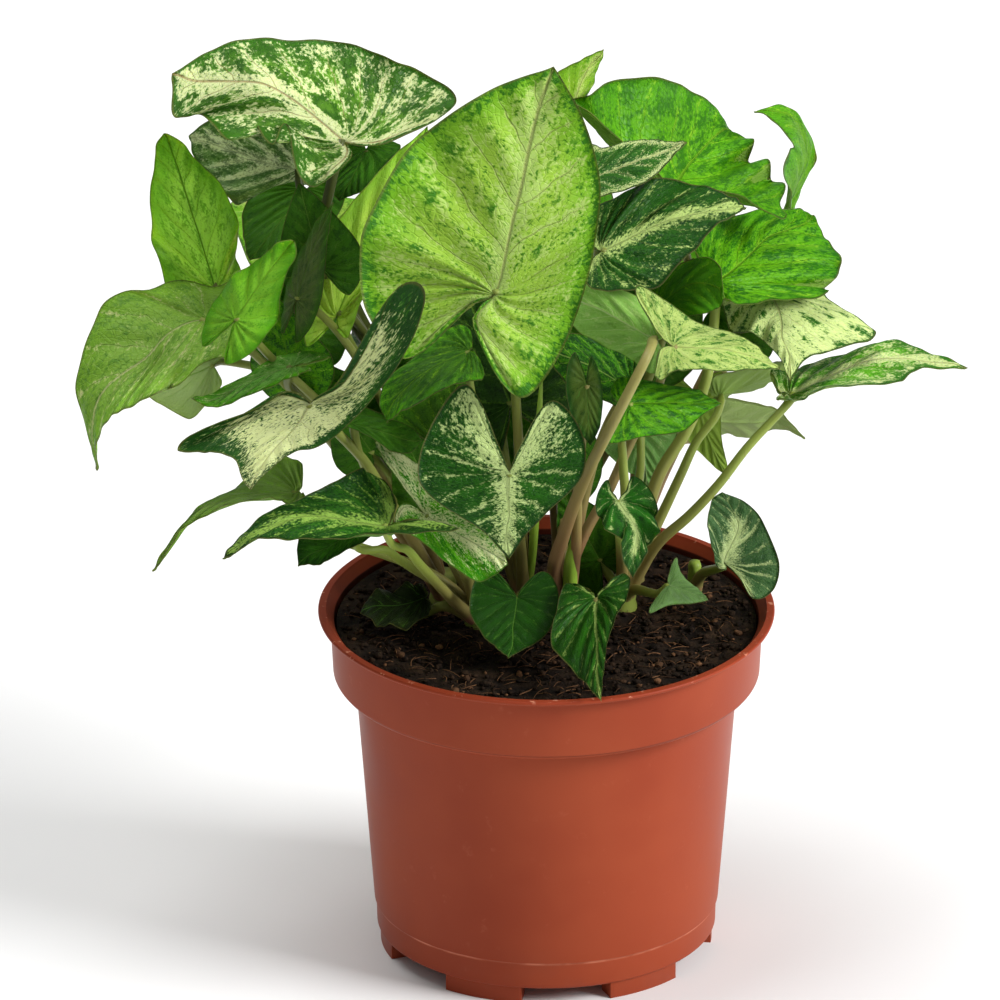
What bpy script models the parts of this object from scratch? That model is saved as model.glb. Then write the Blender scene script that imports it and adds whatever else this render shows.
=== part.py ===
"""Potted syngonium: a nursery pot, its soil, nine plantlets of stalks and their arrowhead leaves.

Every length is in metres and +Z is up. The pot's feet stand on Z = 0 and the pot's own axis is an
empty, "plant_axis", which every object is parented to. The plant was read from a front view taken
from VIEW_TILT above level, so a place on a leaf is written (across, down, depth): where it is seen in
that view, in pixels, and how far it lies behind the pot's axis, in millimetres.
"""

import math
import random

import bmesh
import bpy
import numpy as np
from mathutils import Vector
from mathutils.geometry import delaunay_2d_cdt

MM = 0.001
SEAM = 0.001 * MM
CUT_SEAM = 0.01 * MM

# Pot
RIM_RADIUS = 60.0 * MM
RIM_MOUTH_RADIUS = 57.9 * MM
RIM_THICKNESS = 1.0 * MM
COLLAR_TOP_RADIUS = 56.8 * MM
COLLAR_FOOT_RADIUS = 56.0 * MM
BODY_TOP_RADIUS = 50.2 * MM
BODY_FOOT_RADIUS = 45.2 * MM
SKIRT_RADIUS = 44.5 * MM
POT_HEIGHT = 94.3 * MM
COLLAR_FOOT_Z = 75.9 * MM
STEP_Z = 12.2 * MM
FLOOR_Z = 4.5 * MM
WALL = 1.1 * MM
FOOT_COUNT = 6
FOOT_WIDTH_DEG = 28.5
FOOT_FIRST_DEG = -23.0
FOOT_RADIUS = 43.6 * MM
FOOT_DEPTH = 6.0 * MM
DRAIN_RADIUS = 4.0 * MM
DRAIN_RING = 27.0 * MM
POT_STEPS = 48

# Soil
SOIL_Z = 90.6 * MM
SOIL_ROUGH = 1.1 * MM
SOIL_WAVES = (60.0, 190.0)
SOIL_BEATS = 5
SOIL_ROUGH_REACH = 50.0 * MM
SOIL_SEED = 7
SOIL_STEPS = 36
CLEARANCE = 0.3 * MM
WALL_CLEARANCE = 0.45 * MM
STEM_DEPTH = 14.0 * MM

# Leaves: a large one is split finer, (places along each side's margin, lengths of midrib)
BLADE = 0.7 * MM
LARGE_LEAF = 34.0 * MM
LARGE_SPLIT = (14, 6)
SMALL_SPLIT = (10, 3)
WARP_EASE = 2e-4
NORMAL_STEP = 0.05

# Stalks: radius and the gap under the blade in mm, then the taper from foot to top
STALK_RADIUS = 1.2
SEAT_GAP = 0.3
FOOT_SHARE = 1.35
TOP_SHARE = 0.85
ROOT_SHARE = 1.1
STALK_POINTS = 7
STALK_SIDES_RESOLUTION = 1
CURVE_STEPS = 12
ARRIVAL = 5.0 * MM
STEM_SIDES = 10
STEM_HEIGHT = 9.0 * MM
STEM_RADIUS = 2.0 * MM
STEM_GROWTH = 0.45 * MM
STEM_TAPER = 0.72

# The view that the places were read in
PIXELS_PER_METRE = 3810.0
RIM_CENTRE = (546.4, 608.0)
VIEW_TILT = math.radians(24.3)

# The pot's axis in the part's frame, whose origin is under the middle of the whole plant
AXIS_PLACE = Vector((6.2 * MM, -23.6 * MM, 0.0))

# Where the named places lie on a flat leaf one unit long from its heart to its tip
HEART = (0.0, 0.0)
MID = (0.5, 0.0)
TIP = (1.0, 0.0)
SIDE = {
    "sinus": (-0.17, 0.05),
    "lobe": (-0.42, 0.20),
    "hip": (-0.20, 0.40),
    "wide": (0.12, 0.44),
    "flank": (0.50, 0.30),
    "neck": (0.80, 0.14),
}

# Places between midrib and margin of one side, by the lengths of midrib
BETWEEN = {
    3: [(-0.20, 0.22), (0.14, 0.22), (0.46, 0.15)],
    6: [(-0.24, 0.19), (-0.06, 0.26), (0.10, 0.12), (0.16, 0.28), (0.34, 0.18), (0.54, 0.14), (0.72, 0.09)],
}


def seen(across, down, depth):
    """The point in the pot's frame that shows at a pixel, a depth in mm behind the pot's axis."""
    rise = (RIM_CENTRE[1] - down) / PIXELS_PER_METRE
    depth = depth * MM
    z = POT_HEIGHT + (rise - depth * math.sin(VIEW_TILT)) / math.cos(VIEW_TILT)
    return Vector(((across - RIM_CENTRE[0]) / PIXELS_PER_METRE, depth, z))


# Plantlets: where each stem stands in the soil, in mm from the pot's axis
STEMS = {
    "left": (-27, 12),
    "front_left": (-18, -3),
    "centre": (-6, 8),
    "front": (5, -1),
    "right": (20, 8),
    "back": (4, 22),
    "back_left": (-16, 25),
    "back_right": (22, 26),
    "small_right": (39, 18),
}

# Leaves: left and right as the leaf has them, each from the notch round the lobe and on to the tip
LEAVES = {
    "crest": dict(
        stem="back_left", tone="cream", heart=(345, 143, 12), mid=(262, 85, 14), tip=(174, 75, 16),
        left=[None, (318, 185, -4), (284, 141, 0), (250, 138, 2), (212, 126, 8), (183, 112, 12)],
        right=[(375, 147, 16), (453, 110, 26), (415, 70, 36), (360, 48, 42), (280, 38, 40), (210, 52, 28)],
        via=[(390, 470, 16), (308, 345, 8), (298, 290, 6), (314, 240, 6), (335, 185, 9)], stalk=1.5,
    ),
    "face": dict(
        stem="centre", tone="light", heart=(494, 296, -34), mid=(522, 185, -24), tip=(553, 70, -14),
        left=[(477, 305, -35), (406, 360, -36), (367, 312, -30),
              (364, 243, -25), (410, 148, -18), (492, 92, -14)],
        right=[(482, 316, -38), (517, 398, -46), (563, 348, -40),
               (588, 278, -34), (601, 200, -26), (582, 120, -18)],
    ),
    "spire": dict(
        stem="back", tone="light", heart=(548, 150, 24), mid=(575, 100, 30), tip=(604, 51, 36),
        left=[None, (525, 165, 16), None, (532, 112, 20), (556, 76, 26), (580, 60, 32)],
        right=[None, (560, 175, 26), None, (580, 130, 32), (588, 95, 36), (597, 72, 37)],
    ),
    "sail": dict(
        stem="back_right", tone="bright", heart=(672, 190, 30), mid=(697, 155, 47), tip=(737, 142, 62),
        left=[(640, 160, 27), (588, 113, 22), (589, 96, 28), (618, 80, 42), (680, 84, 58), (716, 106, 64)],
        right=[(715, 190, 26), (768, 212, 22), (780, 205, 30),
               (778, 178, 42), (758, 158, 54), (748, 140, 60)],
        via=[(638, 520, 34), (652, 470, 38), (684, 360, 42), (690, 260, 38)],
    ),
    "speckle": dict(
        stem="back", tone="cream", heart=(592, 178, 8), mid=(640, 161, 10), tip=(686, 143, 16),
        left=[None, (583, 152, 14), None, (606, 148, 20), (640, 140, 21), (666, 142, 19)],
        right=[None, (578, 192, -2), None, (606, 197, 0), (645, 184, 4), (669, 162, 10)],
    ),
    "dark_long": dict(
        stem="back", tone="dark", heart=(601, 252, -6), mid=(668, 221, 4), tip=(746, 208, 18),
        left=[None, (584, 218, 2), (604, 203, 8), (640, 187, 16), (694, 182, 22), (730, 197, 22)],
        right=[None, (583, 281, -18), (610, 292, -18), (650, 285, -14), (694, 251, -6), (722, 222, 6)],
        via=[(575, 470, 16), (596, 380, 14), (604, 300, 6)],
    ),
    "broad": dict(
        stem="right", tone="bright", heart=(716, 282, 10), mid=(768, 237, 32), tip=(814, 214, 50),
        left=[None, (697, 252, 14), (700, 236, 20), (715, 222, 28), (757, 211, 42), (797, 209, 50)],
        right=[None, (728, 302, 0), (766, 301, 6), (822, 296, 20), (840, 262, 36), (825, 236, 46)],
        via=[(652, 493, 0), (673, 450, 0), (695, 414, 0), (708, 370, 4), (714, 318, 15)], stalk=1.45,
    ),
    "hook": dict(
        stem="back_right", tone="bright", heart=(786, 212, 60), mid=(806, 150, 64), tip=(754, 111, 54),
        edge=[((0.25, 0.0), (799, 180, 62)), ((0.78, 0.0), (788, 113, 60))],
        left=[None, None, None, (792, 190, 52), (790, 150, 54), (780, 127, 54)],
        right=[None, None, None, (803, 180, 70), (812, 145, 72), (785, 107, 64)],
        via=[(638, 520, 34), (652, 475, 38), (682, 420, 42), (724, 340, 48), (770, 262, 56)],
    ),
    "bat": dict(
        stem="back_right", tone="cream", heart=(771, 294, 22), mid=(781, 338, 6), tip=(789, 382, -8),
        left=[None, (812, 286, 32), (834, 304, 31), (876, 331, 24), (836, 349, 10), (803, 361, 0)],
        right=[None, (728, 288, 28), (722, 305, 26), (733, 331, 16), (762, 341, 8), (780, 360, 0)],
        via=[(638, 520, 30), (654, 475, 32), (692, 420, 33), (714, 384, 34), (744, 336, 42), (757, 316, 42)],
        gap=0.75,
    ),
    "far_right": dict(
        stem="right", tone="bright", heart=(791, 394, 6), mid=(868, 360, 16), tip=(968, 367, 24),
        left=[None, (770, 372, 14), (784, 370, 22), (812, 364, 30), (878, 343, 32), (926, 351, 28)],
        right=[None, (776, 398, -4), (799, 400, -8), (832, 389, -8), (896, 383, 2), (922, 370, 16)],
        via=[(646, 561, 3), (659, 542, 0), (700, 505, -4), (736, 462, -4), (771, 417, 0)],
    ),
    "pale_right": dict(
        stem="back_right", tone="grey", heart=(712, 420, 55), mid=(760, 421, 60), tip=(807, 438, 64),
        left=[None, (698, 436, 58), None, (726, 434, 63), (752, 437, 66), (780, 428, 65)],
        right=[None, (698, 400, 52), None, (722, 395, 53), (762, 404, 57), (784, 413, 60)],
        via=[(638, 520, 32), (652, 475, 38), (684, 440, 46)],
    ),
    "under_right": dict(
        stem="right", tone="grey", heart=(719, 395, 12), mid=(760, 379, 22), tip=(798, 366, 32),
        left=[None, (709, 406, 16), None, (734, 393, 20), (762, 388, 30), (782, 377, 34)],
        right=[None, (706, 384, 9), None, (728, 374, 8), (763, 364, 16), (784, 362, 24)],
        via=[(640, 560, 4), (659, 521, 5), (673, 490, 5), (692, 452, 5), (706, 420, 4)],
    ),
    "spear": dict(
        stem="back_right", tone="grey", heart=(698, 398, 26), mid=(708, 436, 28), tip=(730, 479, 30),
        left=[None, (676, 378, 26), None, (672, 420, 26), (694, 447, 28), (714, 466, 30)],
        right=[None, (716, 372, 26), None, (722, 396, 26), (722, 438, 28), (727, 462, 30)],
        via=[(638, 520, 26), (654, 472, 26), (680, 425, 18)],
    ),
    "elbow": dict(
        stem="front", tone="bright", heart=(655, 340, -19), mid=(602, 310, -14), tip=(548, 290, -14),
        left=[None, (670, 321, -14), None, (640, 299, -10), (594, 278, -14), None],
        right=[None, (660, 367, -14), None, (624, 356, -10), (580, 334, -10), None],
        via=[(553, 582, -4), (568, 521, -18), (592, 462, -33), (612, 424, -37), (640, 368, -36),
             (651, 349, -30)], stalk=1.7,
    ),
    "bird": dict(
        stem="front", tone="cream", heart=(672, 347, -22), mid=(724, 350, -14), tip=(779, 369, -8),
        left=[None, (634, 291, -30), (662, 300, -25),
              (695, 322, -14), (738, 336, -8), (762, 353, -6)],
        right=[None, (654, 377, -32), (674, 372, -30),
               (694, 370, -26), (735, 371, -20), (762, 370, -14)],
        via=[(572, 560, -6), (604, 500, -6), (636, 430, -6), (660, 385, -6)],
    ),
    "heart_front": dict(
        stem="centre", tone="dark", heart=(509, 472, -48), mid=(509, 516, -53), tip=(509, 559, -58),
        left=[(519, 448, -46), (552, 401, -38), (581, 432, -42),
              (582, 475, -48), (547, 512, -54), (524, 537, -57)],
        right=[(500, 448, -46), (467, 385, -36), (430, 430, -40),
               (419, 480, -46), (456, 514, -52), (486, 534, -56)],
    ),
    "twist": dict(
        stem="left", tone="cream", heart=(311, 404, -36), mid=(282, 443, -44), tip=(252, 490, -52),
        left=[(334, 388, -40), (399, 289, -50), (420, 326, -54),
              (374, 399, -50), (318, 448, -47), (283, 460, -48)],
        right=[(290, 392, -33), (192, 436, -36), (200, 453, -40),
               (222, 454, -43), (239, 464, -46), (243, 477, -49)],
        edge=[((-0.32, -0.13), (248, 414, -34))],
        via=[(424, 560, 0), (379, 484, -18), (350, 443, -28)], stalk=1.4,
    ),
    "left_droop": dict(
        stem="left", tone="bright", heart=(205, 320, -4), mid=(146, 360, -14), tip=(98, 471, -30),
        left=[(232, 341, -14), (254, 354, -24), (208, 361, -26),
              (152, 398, -30), (121, 413, -32), (101, 432, -32)],
        right=[(224, 318, -4), (294, 250, -2), (222, 285, 6),
               (165, 284, 10), (103, 307, 2), (78, 390, -12)],
        via=[(405, 540, 6), (330, 440, 0), (262, 360, -6), (225, 334, -8)],
    ),
    "left_tall": dict(
        stem="left", tone="bright", heart=(215, 288, 15), mid=(190, 205, 20), tip=(166, 134, 28),
        left=[None, (172, 318, 12), (166, 290, 13), (158, 250, 15), (151, 204, 17), (157, 160, 24)],
        right=[None, (252, 312, 14), (246, 284, 18), (238, 250, 22), (226, 192, 26), (194, 158, 28)],
        via=[(400, 500, 22), (300, 380, 26), (240, 310, 24)],
    ),
    "left_under": dict(
        stem="left", tone="grey", heart=(212, 366, -4), mid=(176, 378, -10), tip=(137, 373, -13),
        left=[None, (223, 384, -5), (206, 406, -6), (190, 419, -7), (160, 404, -10), (143, 390, -12)],
        right=[None, (222, 357, -3), None, (198, 356, -4), (176, 353, -7), (152, 360, -11)],
        via=[(400, 520, 4), (330, 430, 2), (268, 364, 6), (232, 362, 8)], gap=0.6,
    ),
    "left_sliver": dict(
        stem="left", tone="bright", heart=(292, 368, -18), mid=(244, 385, -22), tip=(193, 398, -26),
        left=[None, (312, 370, -24), None, (280, 384, -26), (238, 401, -28), (212, 409, -28)],
        right=[None, (330, 358, -16), None, (278, 357, -14), (244, 377, -19), (212, 394, -23)],
        via=[(400, 520, 6), (325, 425, 4), (290, 388, -2)],
    ),
    "curl": dict(
        stem="left", tone="bright", heart=(284, 346, 6), mid=(290, 312, 8), tip=(314, 264, 12),
        left=[None, (262, 352, 0), None, (259, 334, 2), (274, 298, 6), (296, 274, 10)],
        right=[None, (302, 356, 8), None, (302, 330, 12), (304, 302, 14), (316, 276, 14)],
    ),
    "left_tail": dict(
        stem="front_left", tone="bright", heart=(295, 492, -14), mid=(214, 504, -22), tip=(153, 571, -30),
        left=[None, (309, 503, -20), (288, 503, -25),
              (262, 499, -27), (214, 511, -28), (180, 537, -30)],
        right=[None, (303, 464, -4), (284, 459, -2),
               (262, 469, -4), (222, 494, -14), (182, 526, -26)],
    ),
    "long_left": dict(
        stem="front_left", tone="bright", heart=(388, 525, -48), mid=(306, 516, -52), tip=(224, 558, -62),
        left=[(404, 520, -54), (459, 527, -66), (415, 533, -68),
              (354, 537, -64), (296, 539, -64), (256, 543, -64)],
        right=[(396, 508, -40), (384, 480, -27), (360, 470, -31),
               (331, 484, -38), (286, 503, -46), (244, 533, -56)],
        via=[(455, 602, -10), (425, 570, -26), (402, 545, -40)],
    ),
    "hanging": dict(
        stem="front_left", tone="dark", heart=(355, 533, -30), mid=(328, 548, -38), tip=(299, 565, -46),
        left=[None, None, None, (348, 550, -38), (326, 561, -44), None],
        right=[None, None, None, (335, 520, -28), (303, 530, -34), (298, 548, -40)],
        via=[(436, 582, -8), (410, 567, -14), (380, 548, -24)],
    ),
    "patchwork": dict(
        stem="front_left", tone="bright", heart=(424, 513, -38), mid=(466, 538, -46), tip=(508, 564, -53),
        left=[(406, 490, -38), (375, 443, -32), (416, 462, -34), (468, 492, -40), (500, 524, -46), None],
        right=[None, (396, 521, -44), (408, 532, -48), (430, 548, -50), (477, 581, -54), (498, 573, -54)],
    ),
    "low_heart": dict(
        stem="centre", tone="dark", heart=(517, 597, -18), mid=(513, 627, -27), tip=(508, 657, -38),
        left=[(521, 588, -17), (543, 571, -14), (557, 587, -16),
              (558, 606, -21), (548, 632, -30), (528, 647, -34)],
        right=[(512, 588, -17), (489, 567, -14), (473, 584, -16),
               (470, 612, -22), (484, 636, -31), (497, 648, -35)],
    ),
    "arrow": dict(
        stem="front", tone="dark", heart=(596, 598, -23), mid=(597, 645, -42), tip=(600, 699, -65),
        left=[(602, 588, -21), (624, 573, -16), (628, 592, -22),
              (618, 613, -30), (607, 641, -41), (603, 672, -54)],
        right=[(590, 590, -21), (568, 583, -18), (556, 612, -27),
               (551, 643, -38), (576, 674, -51), (589, 687, -59)],
    ),
    "small_heart": dict(
        stem="right", tone="dark", heart=(618, 501, -44), mid=(636, 534, -51), tip=(632, 577, -60),
        left=[(624, 492, -42), (632, 476, -40), (649, 489, -42),
              (658, 515, -47), (651, 543, -54), (641, 562, -57)],
        right=[(612, 492, -42), (606, 480, -40), (595, 502, -44),
               (601, 523, -49), (618, 539, -54), (622, 560, -57)],
    ),
    "oval": dict(
        stem="small_right", tone="dark", heart=(724, 562, 0), mid=(738, 525, 6), tip=(722, 492, 10),
        left=[None, (718, 568, -2), (714, 553, 0), (709, 535, 3), (708, 514, 7), (712, 499, 9)],
        right=[(736, 574, -3), (752, 598, -8), (773, 590, -6),
               (779, 562, -1), (762, 520, 6), (742, 500, 9)],
    ),
    "triangle": dict(
        stem="right", tone="grey", heart=(669, 585, -16), mid=(688, 592, -14), tip=(708, 600, -12),
        left=[None, (672, 563, -10), None, (680, 572, -9), (694, 586, -10), None],
        right=[None, (650, 606, -24), None, (666, 606, -21), (688, 604, -17), None],
    ),
    "on_soil": dict(
        stem="front_left", tone="dark", heart=(424, 598, 0), mid=(392, 606, -6), tip=(360, 613, -8),
        left=[None, (431, 604, -6), None, (414, 623, -14), (387, 628, -17), (370, 618, -12)],
        right=[None, (424, 588, -3), None, (414, 585, 1), (392, 588, 1), (371, 596, -3)],
        via=[(456, 610, -3), (442, 606, -4)],
    ),
    "stripe": dict(
        stem="back_left", tone="grey", heart=(300, 168, 22), mid=(242, 152, 22), tip=(190, 136, 26),
        left=[None, (316, 148, 16), None, (288, 132, 14), (236, 122, 16), (206, 124, 20)],
        right=[None, (312, 184, 28), (285, 185, 32), (238, 199, 34), (213, 182, 32), (194, 156, 28)],
    ),
    "inner_dark": dict(
        stem="back_left", tone="dark", heart=(305, 190, 44), mid=(280, 222, 36), tip=(250, 260, 24),
        left=[None, (340, 178, 46), (344, 202, 44), (330, 224, 38), (294, 248, 32), (266, 258, 27)],
        right=[None, (275, 174, 44), (256, 187, 42), (243, 212, 35), (243, 236, 31), (246, 250, 27)],
    ),
    "band": dict(
        stem="centre", tone="bright", heart=(338, 316, -3), mid=(376, 225, 6), tip=(428, 128, 12),
        left=[None, (308, 347, -10), (312, 306, -5), (322, 265, 0), (354, 202, 6), (398, 154, 10)],
        right=[None, (348, 338, -8), (364, 297, -3), (396, 262, 2), (425, 195, 8), (432, 155, 11)],
    ),
    "tucked": dict(
        stem="back_left", tone="dark", heart=(366, 150, 30), mid=(354, 176, 22), tip=(340, 202, 16),
        left=[None, (392, 142, 34), None, (388, 163, 26), (364, 192, 18), None],
        right=[None, (345, 138, 32), None, (330, 176, 24), (326, 192, 18), None],
    ),
    "arch": dict(
        stem="centre", tone="dark", heart=(468, 352, -16), mid=(418, 378, -25), tip=(387, 423, -33),
        left=[None, (484, 372, -22), None, (452, 386, -28), (412, 408, -34), (395, 418, -35)],
        right=[None, (470, 330, -8), None, (420, 352, -12), (386, 382, -22), (380, 404, -28)],
    ),
    "dark_end": dict(
        stem="left", tone="dark", heart=(352, 424, -29), mid=(388, 434, -33), tip=(423, 441, -34),
        left=[None, None, None, (366, 416, -27), (396, 421, -31), (415, 430, -33)],
        right=[None, None, None, (366, 434, -33), (390, 450, -37), (411, 453, -37)],
    ),
    "olive": dict(
        stem="front", tone="grey", heart=(586, 384, -24), mid=(588, 416, -26), tip=(590, 446, -27),
        left=[None, None, None, (602, 400, -24), (600, 425, -26), None],
        right=[None, None, None, (566, 392, -26), (573, 425, -28), None],
        via=[(575, 560, -8), (578, 480, -18), (584, 420, -20)],
    ),
    "lattice": dict(
        stem="front", tone="dark", heart=(630, 389, 0), mid=(590, 366, -4), tip=(546, 348, -8),
        left=[None, (640, 402, -2), None, (612, 404, -10), (572, 388, -14), (554, 368, -12)],
        right=[None, (646, 362, 3), None, (620, 344, 5), (578, 334, 1), (555, 338, -4)],
    ),
    "dart": dict(
        stem="right", tone="bright", heart=(628, 404, -22), mid=(675, 403, -15), tip=(721, 404, -8),
        left=[None, (610, 392, -20), None, (640, 380, -14), (690, 389, -8), (708, 397, -8)],
        right=[None, (600, 436, -30), None, (640, 438, -27), (682, 432, -21), (704, 414, -13)],
        via=[(625, 560, 2), (625, 500, -8), (622, 450, -14)],
    ),
    "glow": dict(
        stem="right", tone="bright", heart=(640, 430, 14), mid=(644, 458, 19), tip=(647, 488, 24),
        left=[None, (616, 424, 12), None, (604, 450, 16), (628, 472, 21), None],
        right=[None, (664, 420, 14), None, (674, 442, 18), (662, 468, 22), None],
    ),
    "loop": dict(
        stem="back", tone="bright", heart=(658, 306, 6), mid=(692, 284, 0), tip=(723, 300, -4),
        left=[None, (646, 290, 8), None, (664, 272, 7), (700, 258, 0), (720, 270, -4)],
        right=[None, (654, 322, 2), None, (682, 318, -2), (706, 314, -4), (719, 308, -3)],
        via=[(590, 480, 22), (640, 400, 18), (660, 340, 14)],
    ),
}

# Leaves behind, which the view hides: heart in mm, then heading and pitch of the midrib and roll of the
# blade in degrees (heading 0 is +X, 90 is away from the view), then length, width and droop in mm
BACK_LEAVES = {
    "rear_high": dict(stem="back", tone="bright", place=(-8, 62, 186),
                      heading=84, pitch=12, roll=6, size=(50, 52, 16)),
    "rear_left_high": dict(stem="back_left", tone="bright", place=(-54, 70, 168),
                           heading=128, pitch=8, roll=-8, size=(48, 46, 15)),
    "rear_right_high": dict(stem="back_right", tone="bright", place=(26, 72, 168),
                            heading=60, pitch=6, roll=8, size=(46, 46, 16),
                            via=[(636, 520, 38), (648, 470, 46)]),
    "rear_mid": dict(stem="back", tone="dark", place=(2, 70, 146),
                     heading=92, pitch=-4, roll=-6, size=(46, 40, 14)),
    "rear_left_mid": dict(stem="back_left", tone="dark", place=(-30, 78, 136),
                          heading=112, pitch=-6, roll=6, size=(44, 42, 14)),
    "rear_right_mid": dict(stem="back_right", tone="dark", place=(36, 80, 138),
                           heading=54, pitch=-8, roll=-8, size=(40, 38, 12),
                           via=[(638, 520, 40), (654, 465, 50)]),
}

# Young leaves still rolled up: a spindle from its stem to its point
ROLLED = {
    "front": dict(foot=(569, 606, -4), belly=(571, 560, -8), point=(576, 530, -10), radius=2.0),
    "centre": dict(foot=(532, 560, 4), belly=(538, 440, -8), point=(542, 366, -12), radius=1.3),
}


# Leaf colours, 0 to 255
TONES = {
    "light": (158, 186, 74),
    "bright": (92, 150, 44),
    "dark": (40, 88, 38),
    "cream": (168, 184, 116),
    "grey": (126, 150, 104),
}


def srgb(value):
    """Linear value of a 0-255 colour channel."""
    part = value / 255.0
    return part / 12.92 if part <= 0.04045 else ((part + 0.055) / 1.055) ** 2.4


def plain_material(name, colour, roughness, metallic=0.0):
    material = bpy.data.materials.new(name)
    material.use_nodes = True
    shader = material.node_tree.nodes["Principled BSDF"]
    shader.inputs["Base Color"].default_value = (*[srgb(part) for part in colour], 1.0)
    shader.inputs["Roughness"].default_value = roughness
    shader.inputs["Metallic"].default_value = metallic
    return material


def add_object(name, mesh, collection, material=None, location=(0.0, 0.0, 0.0)):
    thing = bpy.data.objects.new(name, mesh)
    collection.objects.link(thing)
    thing.location = location
    thing.parent = bpy.data.objects["plant_axis"]
    if material:
        mesh.materials.append(material)
    return thing


def evaluated_mesh(thing, seam=SEAM):
    """A plain mesh of the object with its modifiers applied, its seams welded."""
    depsgraph = bpy.context.evaluated_depsgraph_get()
    mesh = bpy.data.meshes.new_from_object(thing.evaluated_get(depsgraph), depsgraph=depsgraph)
    shape = bmesh.new()
    shape.from_mesh(mesh)
    bmesh.ops.remove_doubles(shape, verts=shape.verts, dist=seam)
    bmesh.ops.dissolve_degenerate(shape, edges=shape.edges, dist=seam)
    shape.to_mesh(mesh)
    shape.free()
    return mesh


def bake_modifiers(thing, seam=SEAM):
    mesh = evaluated_mesh(thing, seam)
    thing.modifiers.clear()
    thing.data = mesh


def combine(thing, others, operation):
    """Joins or cuts a mesh object by several others at once, and removes them."""
    operands = bpy.data.collections.new(thing.name + "_operands")
    bpy.context.scene.collection.children.link(operands)
    for other in others:
        for owner in list(other.users_collection):
            owner.objects.unlink(other)
        operands.objects.link(other)
        other.hide_render = True
        other.display_type = "WIRE"
    boolean = thing.modifiers.new("combine", "BOOLEAN")
    boolean.operation = operation
    boolean.operand_type = "COLLECTION"
    boolean.collection = operands
    boolean.solver = "EXACT"
    bpy.context.view_layer.update()
    bake_modifiers(thing, CUT_SEAM)
    for other in others:
        bpy.data.objects.remove(other, do_unlink=True)
    bpy.data.collections.remove(operands)


def turned(name, profile, steps, collection, material=None):
    """A solid of revolution from (radius, z) pairs, listed top to bottom along the outer side."""
    mesh = bpy.data.meshes.new(name)
    points = [(radius, 0.0, z) for radius, z in profile]
    edges = [(i, i + 1) for i in range(len(points) - 1)]
    mesh.from_pydata(points, edges, [])
    thing = add_object(name, mesh, collection, material)
    screw = thing.modifiers.new("turn", "SCREW")
    screw.steps = steps
    screw.render_steps = steps
    screw.use_merge_vertices = True
    screw.merge_threshold = 1e-5
    bpy.context.view_layer.update()
    bake_modifiers(thing)
    return thing


def pot_inner_radius(z):
    """Radius of the pot's inner wall at a height."""
    if z > COLLAR_FOOT_Z:
        share = (z - COLLAR_FOOT_Z) / (POT_HEIGHT - COLLAR_FOOT_Z)
        return COLLAR_FOOT_RADIUS + share * (COLLAR_TOP_RADIUS - COLLAR_FOOT_RADIUS) - WALL
    share = (z - STEP_Z) / (COLLAR_FOOT_Z - STEP_Z)
    return BODY_FOOT_RADIUS + share * (BODY_TOP_RADIUS - BODY_FOOT_RADIUS) - WALL


def foot_block(index, collection):
    """One foot: an arc-shaped block under the pot's floor, rising a little into the skirt."""
    middle = math.radians(FOOT_FIRST_DEG + index * 360.0 / FOOT_COUNT)
    half = math.radians(FOOT_WIDTH_DEG / 2.0)
    steps = 4
    shape = bmesh.new()
    rings = []
    for radius in (FOOT_RADIUS - FOOT_DEPTH, FOOT_RADIUS):
        for z in (0.0, FLOOR_Z + 0.4 * MM):
            ring = []
            for i in range(steps + 1):
                turn = middle - half + 2.0 * half * i / steps
                ring.append(shape.verts.new((radius * math.sin(turn), -radius * math.cos(turn), z)))
            rings.append(ring)
    inner_low, inner_high, outer_low, outer_high = rings
    for first, second in ((inner_low, outer_low), (outer_low, outer_high),
                          (outer_high, inner_high), (inner_high, inner_low)):
        for i in range(steps):
            shape.faces.new((first[i], first[i + 1], second[i + 1], second[i]))
    for i in (0, steps):
        shape.faces.new((inner_low[i], outer_low[i], outer_high[i], inner_high[i]))
    bmesh.ops.recalc_face_normals(shape, faces=shape.faces)
    mesh = bpy.data.meshes.new(f"foot_{index}")
    shape.to_mesh(mesh)
    shape.free()
    return add_object(f"foot_{index}", mesh, collection)


def drain_cutter(index, collection):
    turn = math.radians(FOOT_FIRST_DEG + (index + 0.5) * 360.0 / FOOT_COUNT)
    shape = bmesh.new()
    bmesh.ops.create_cone(shape, cap_ends=True, segments=12, radius1=DRAIN_RADIUS,
                          radius2=DRAIN_RADIUS, depth=8.0 * MM)
    mesh = bpy.data.meshes.new(f"drain_{index}")
    shape.to_mesh(mesh)
    shape.free()
    place = (DRAIN_RING * math.sin(turn), -DRAIN_RING * math.cos(turn), FLOOR_Z)
    return add_object(f"drain_{index}", mesh, collection, location=place)


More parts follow.
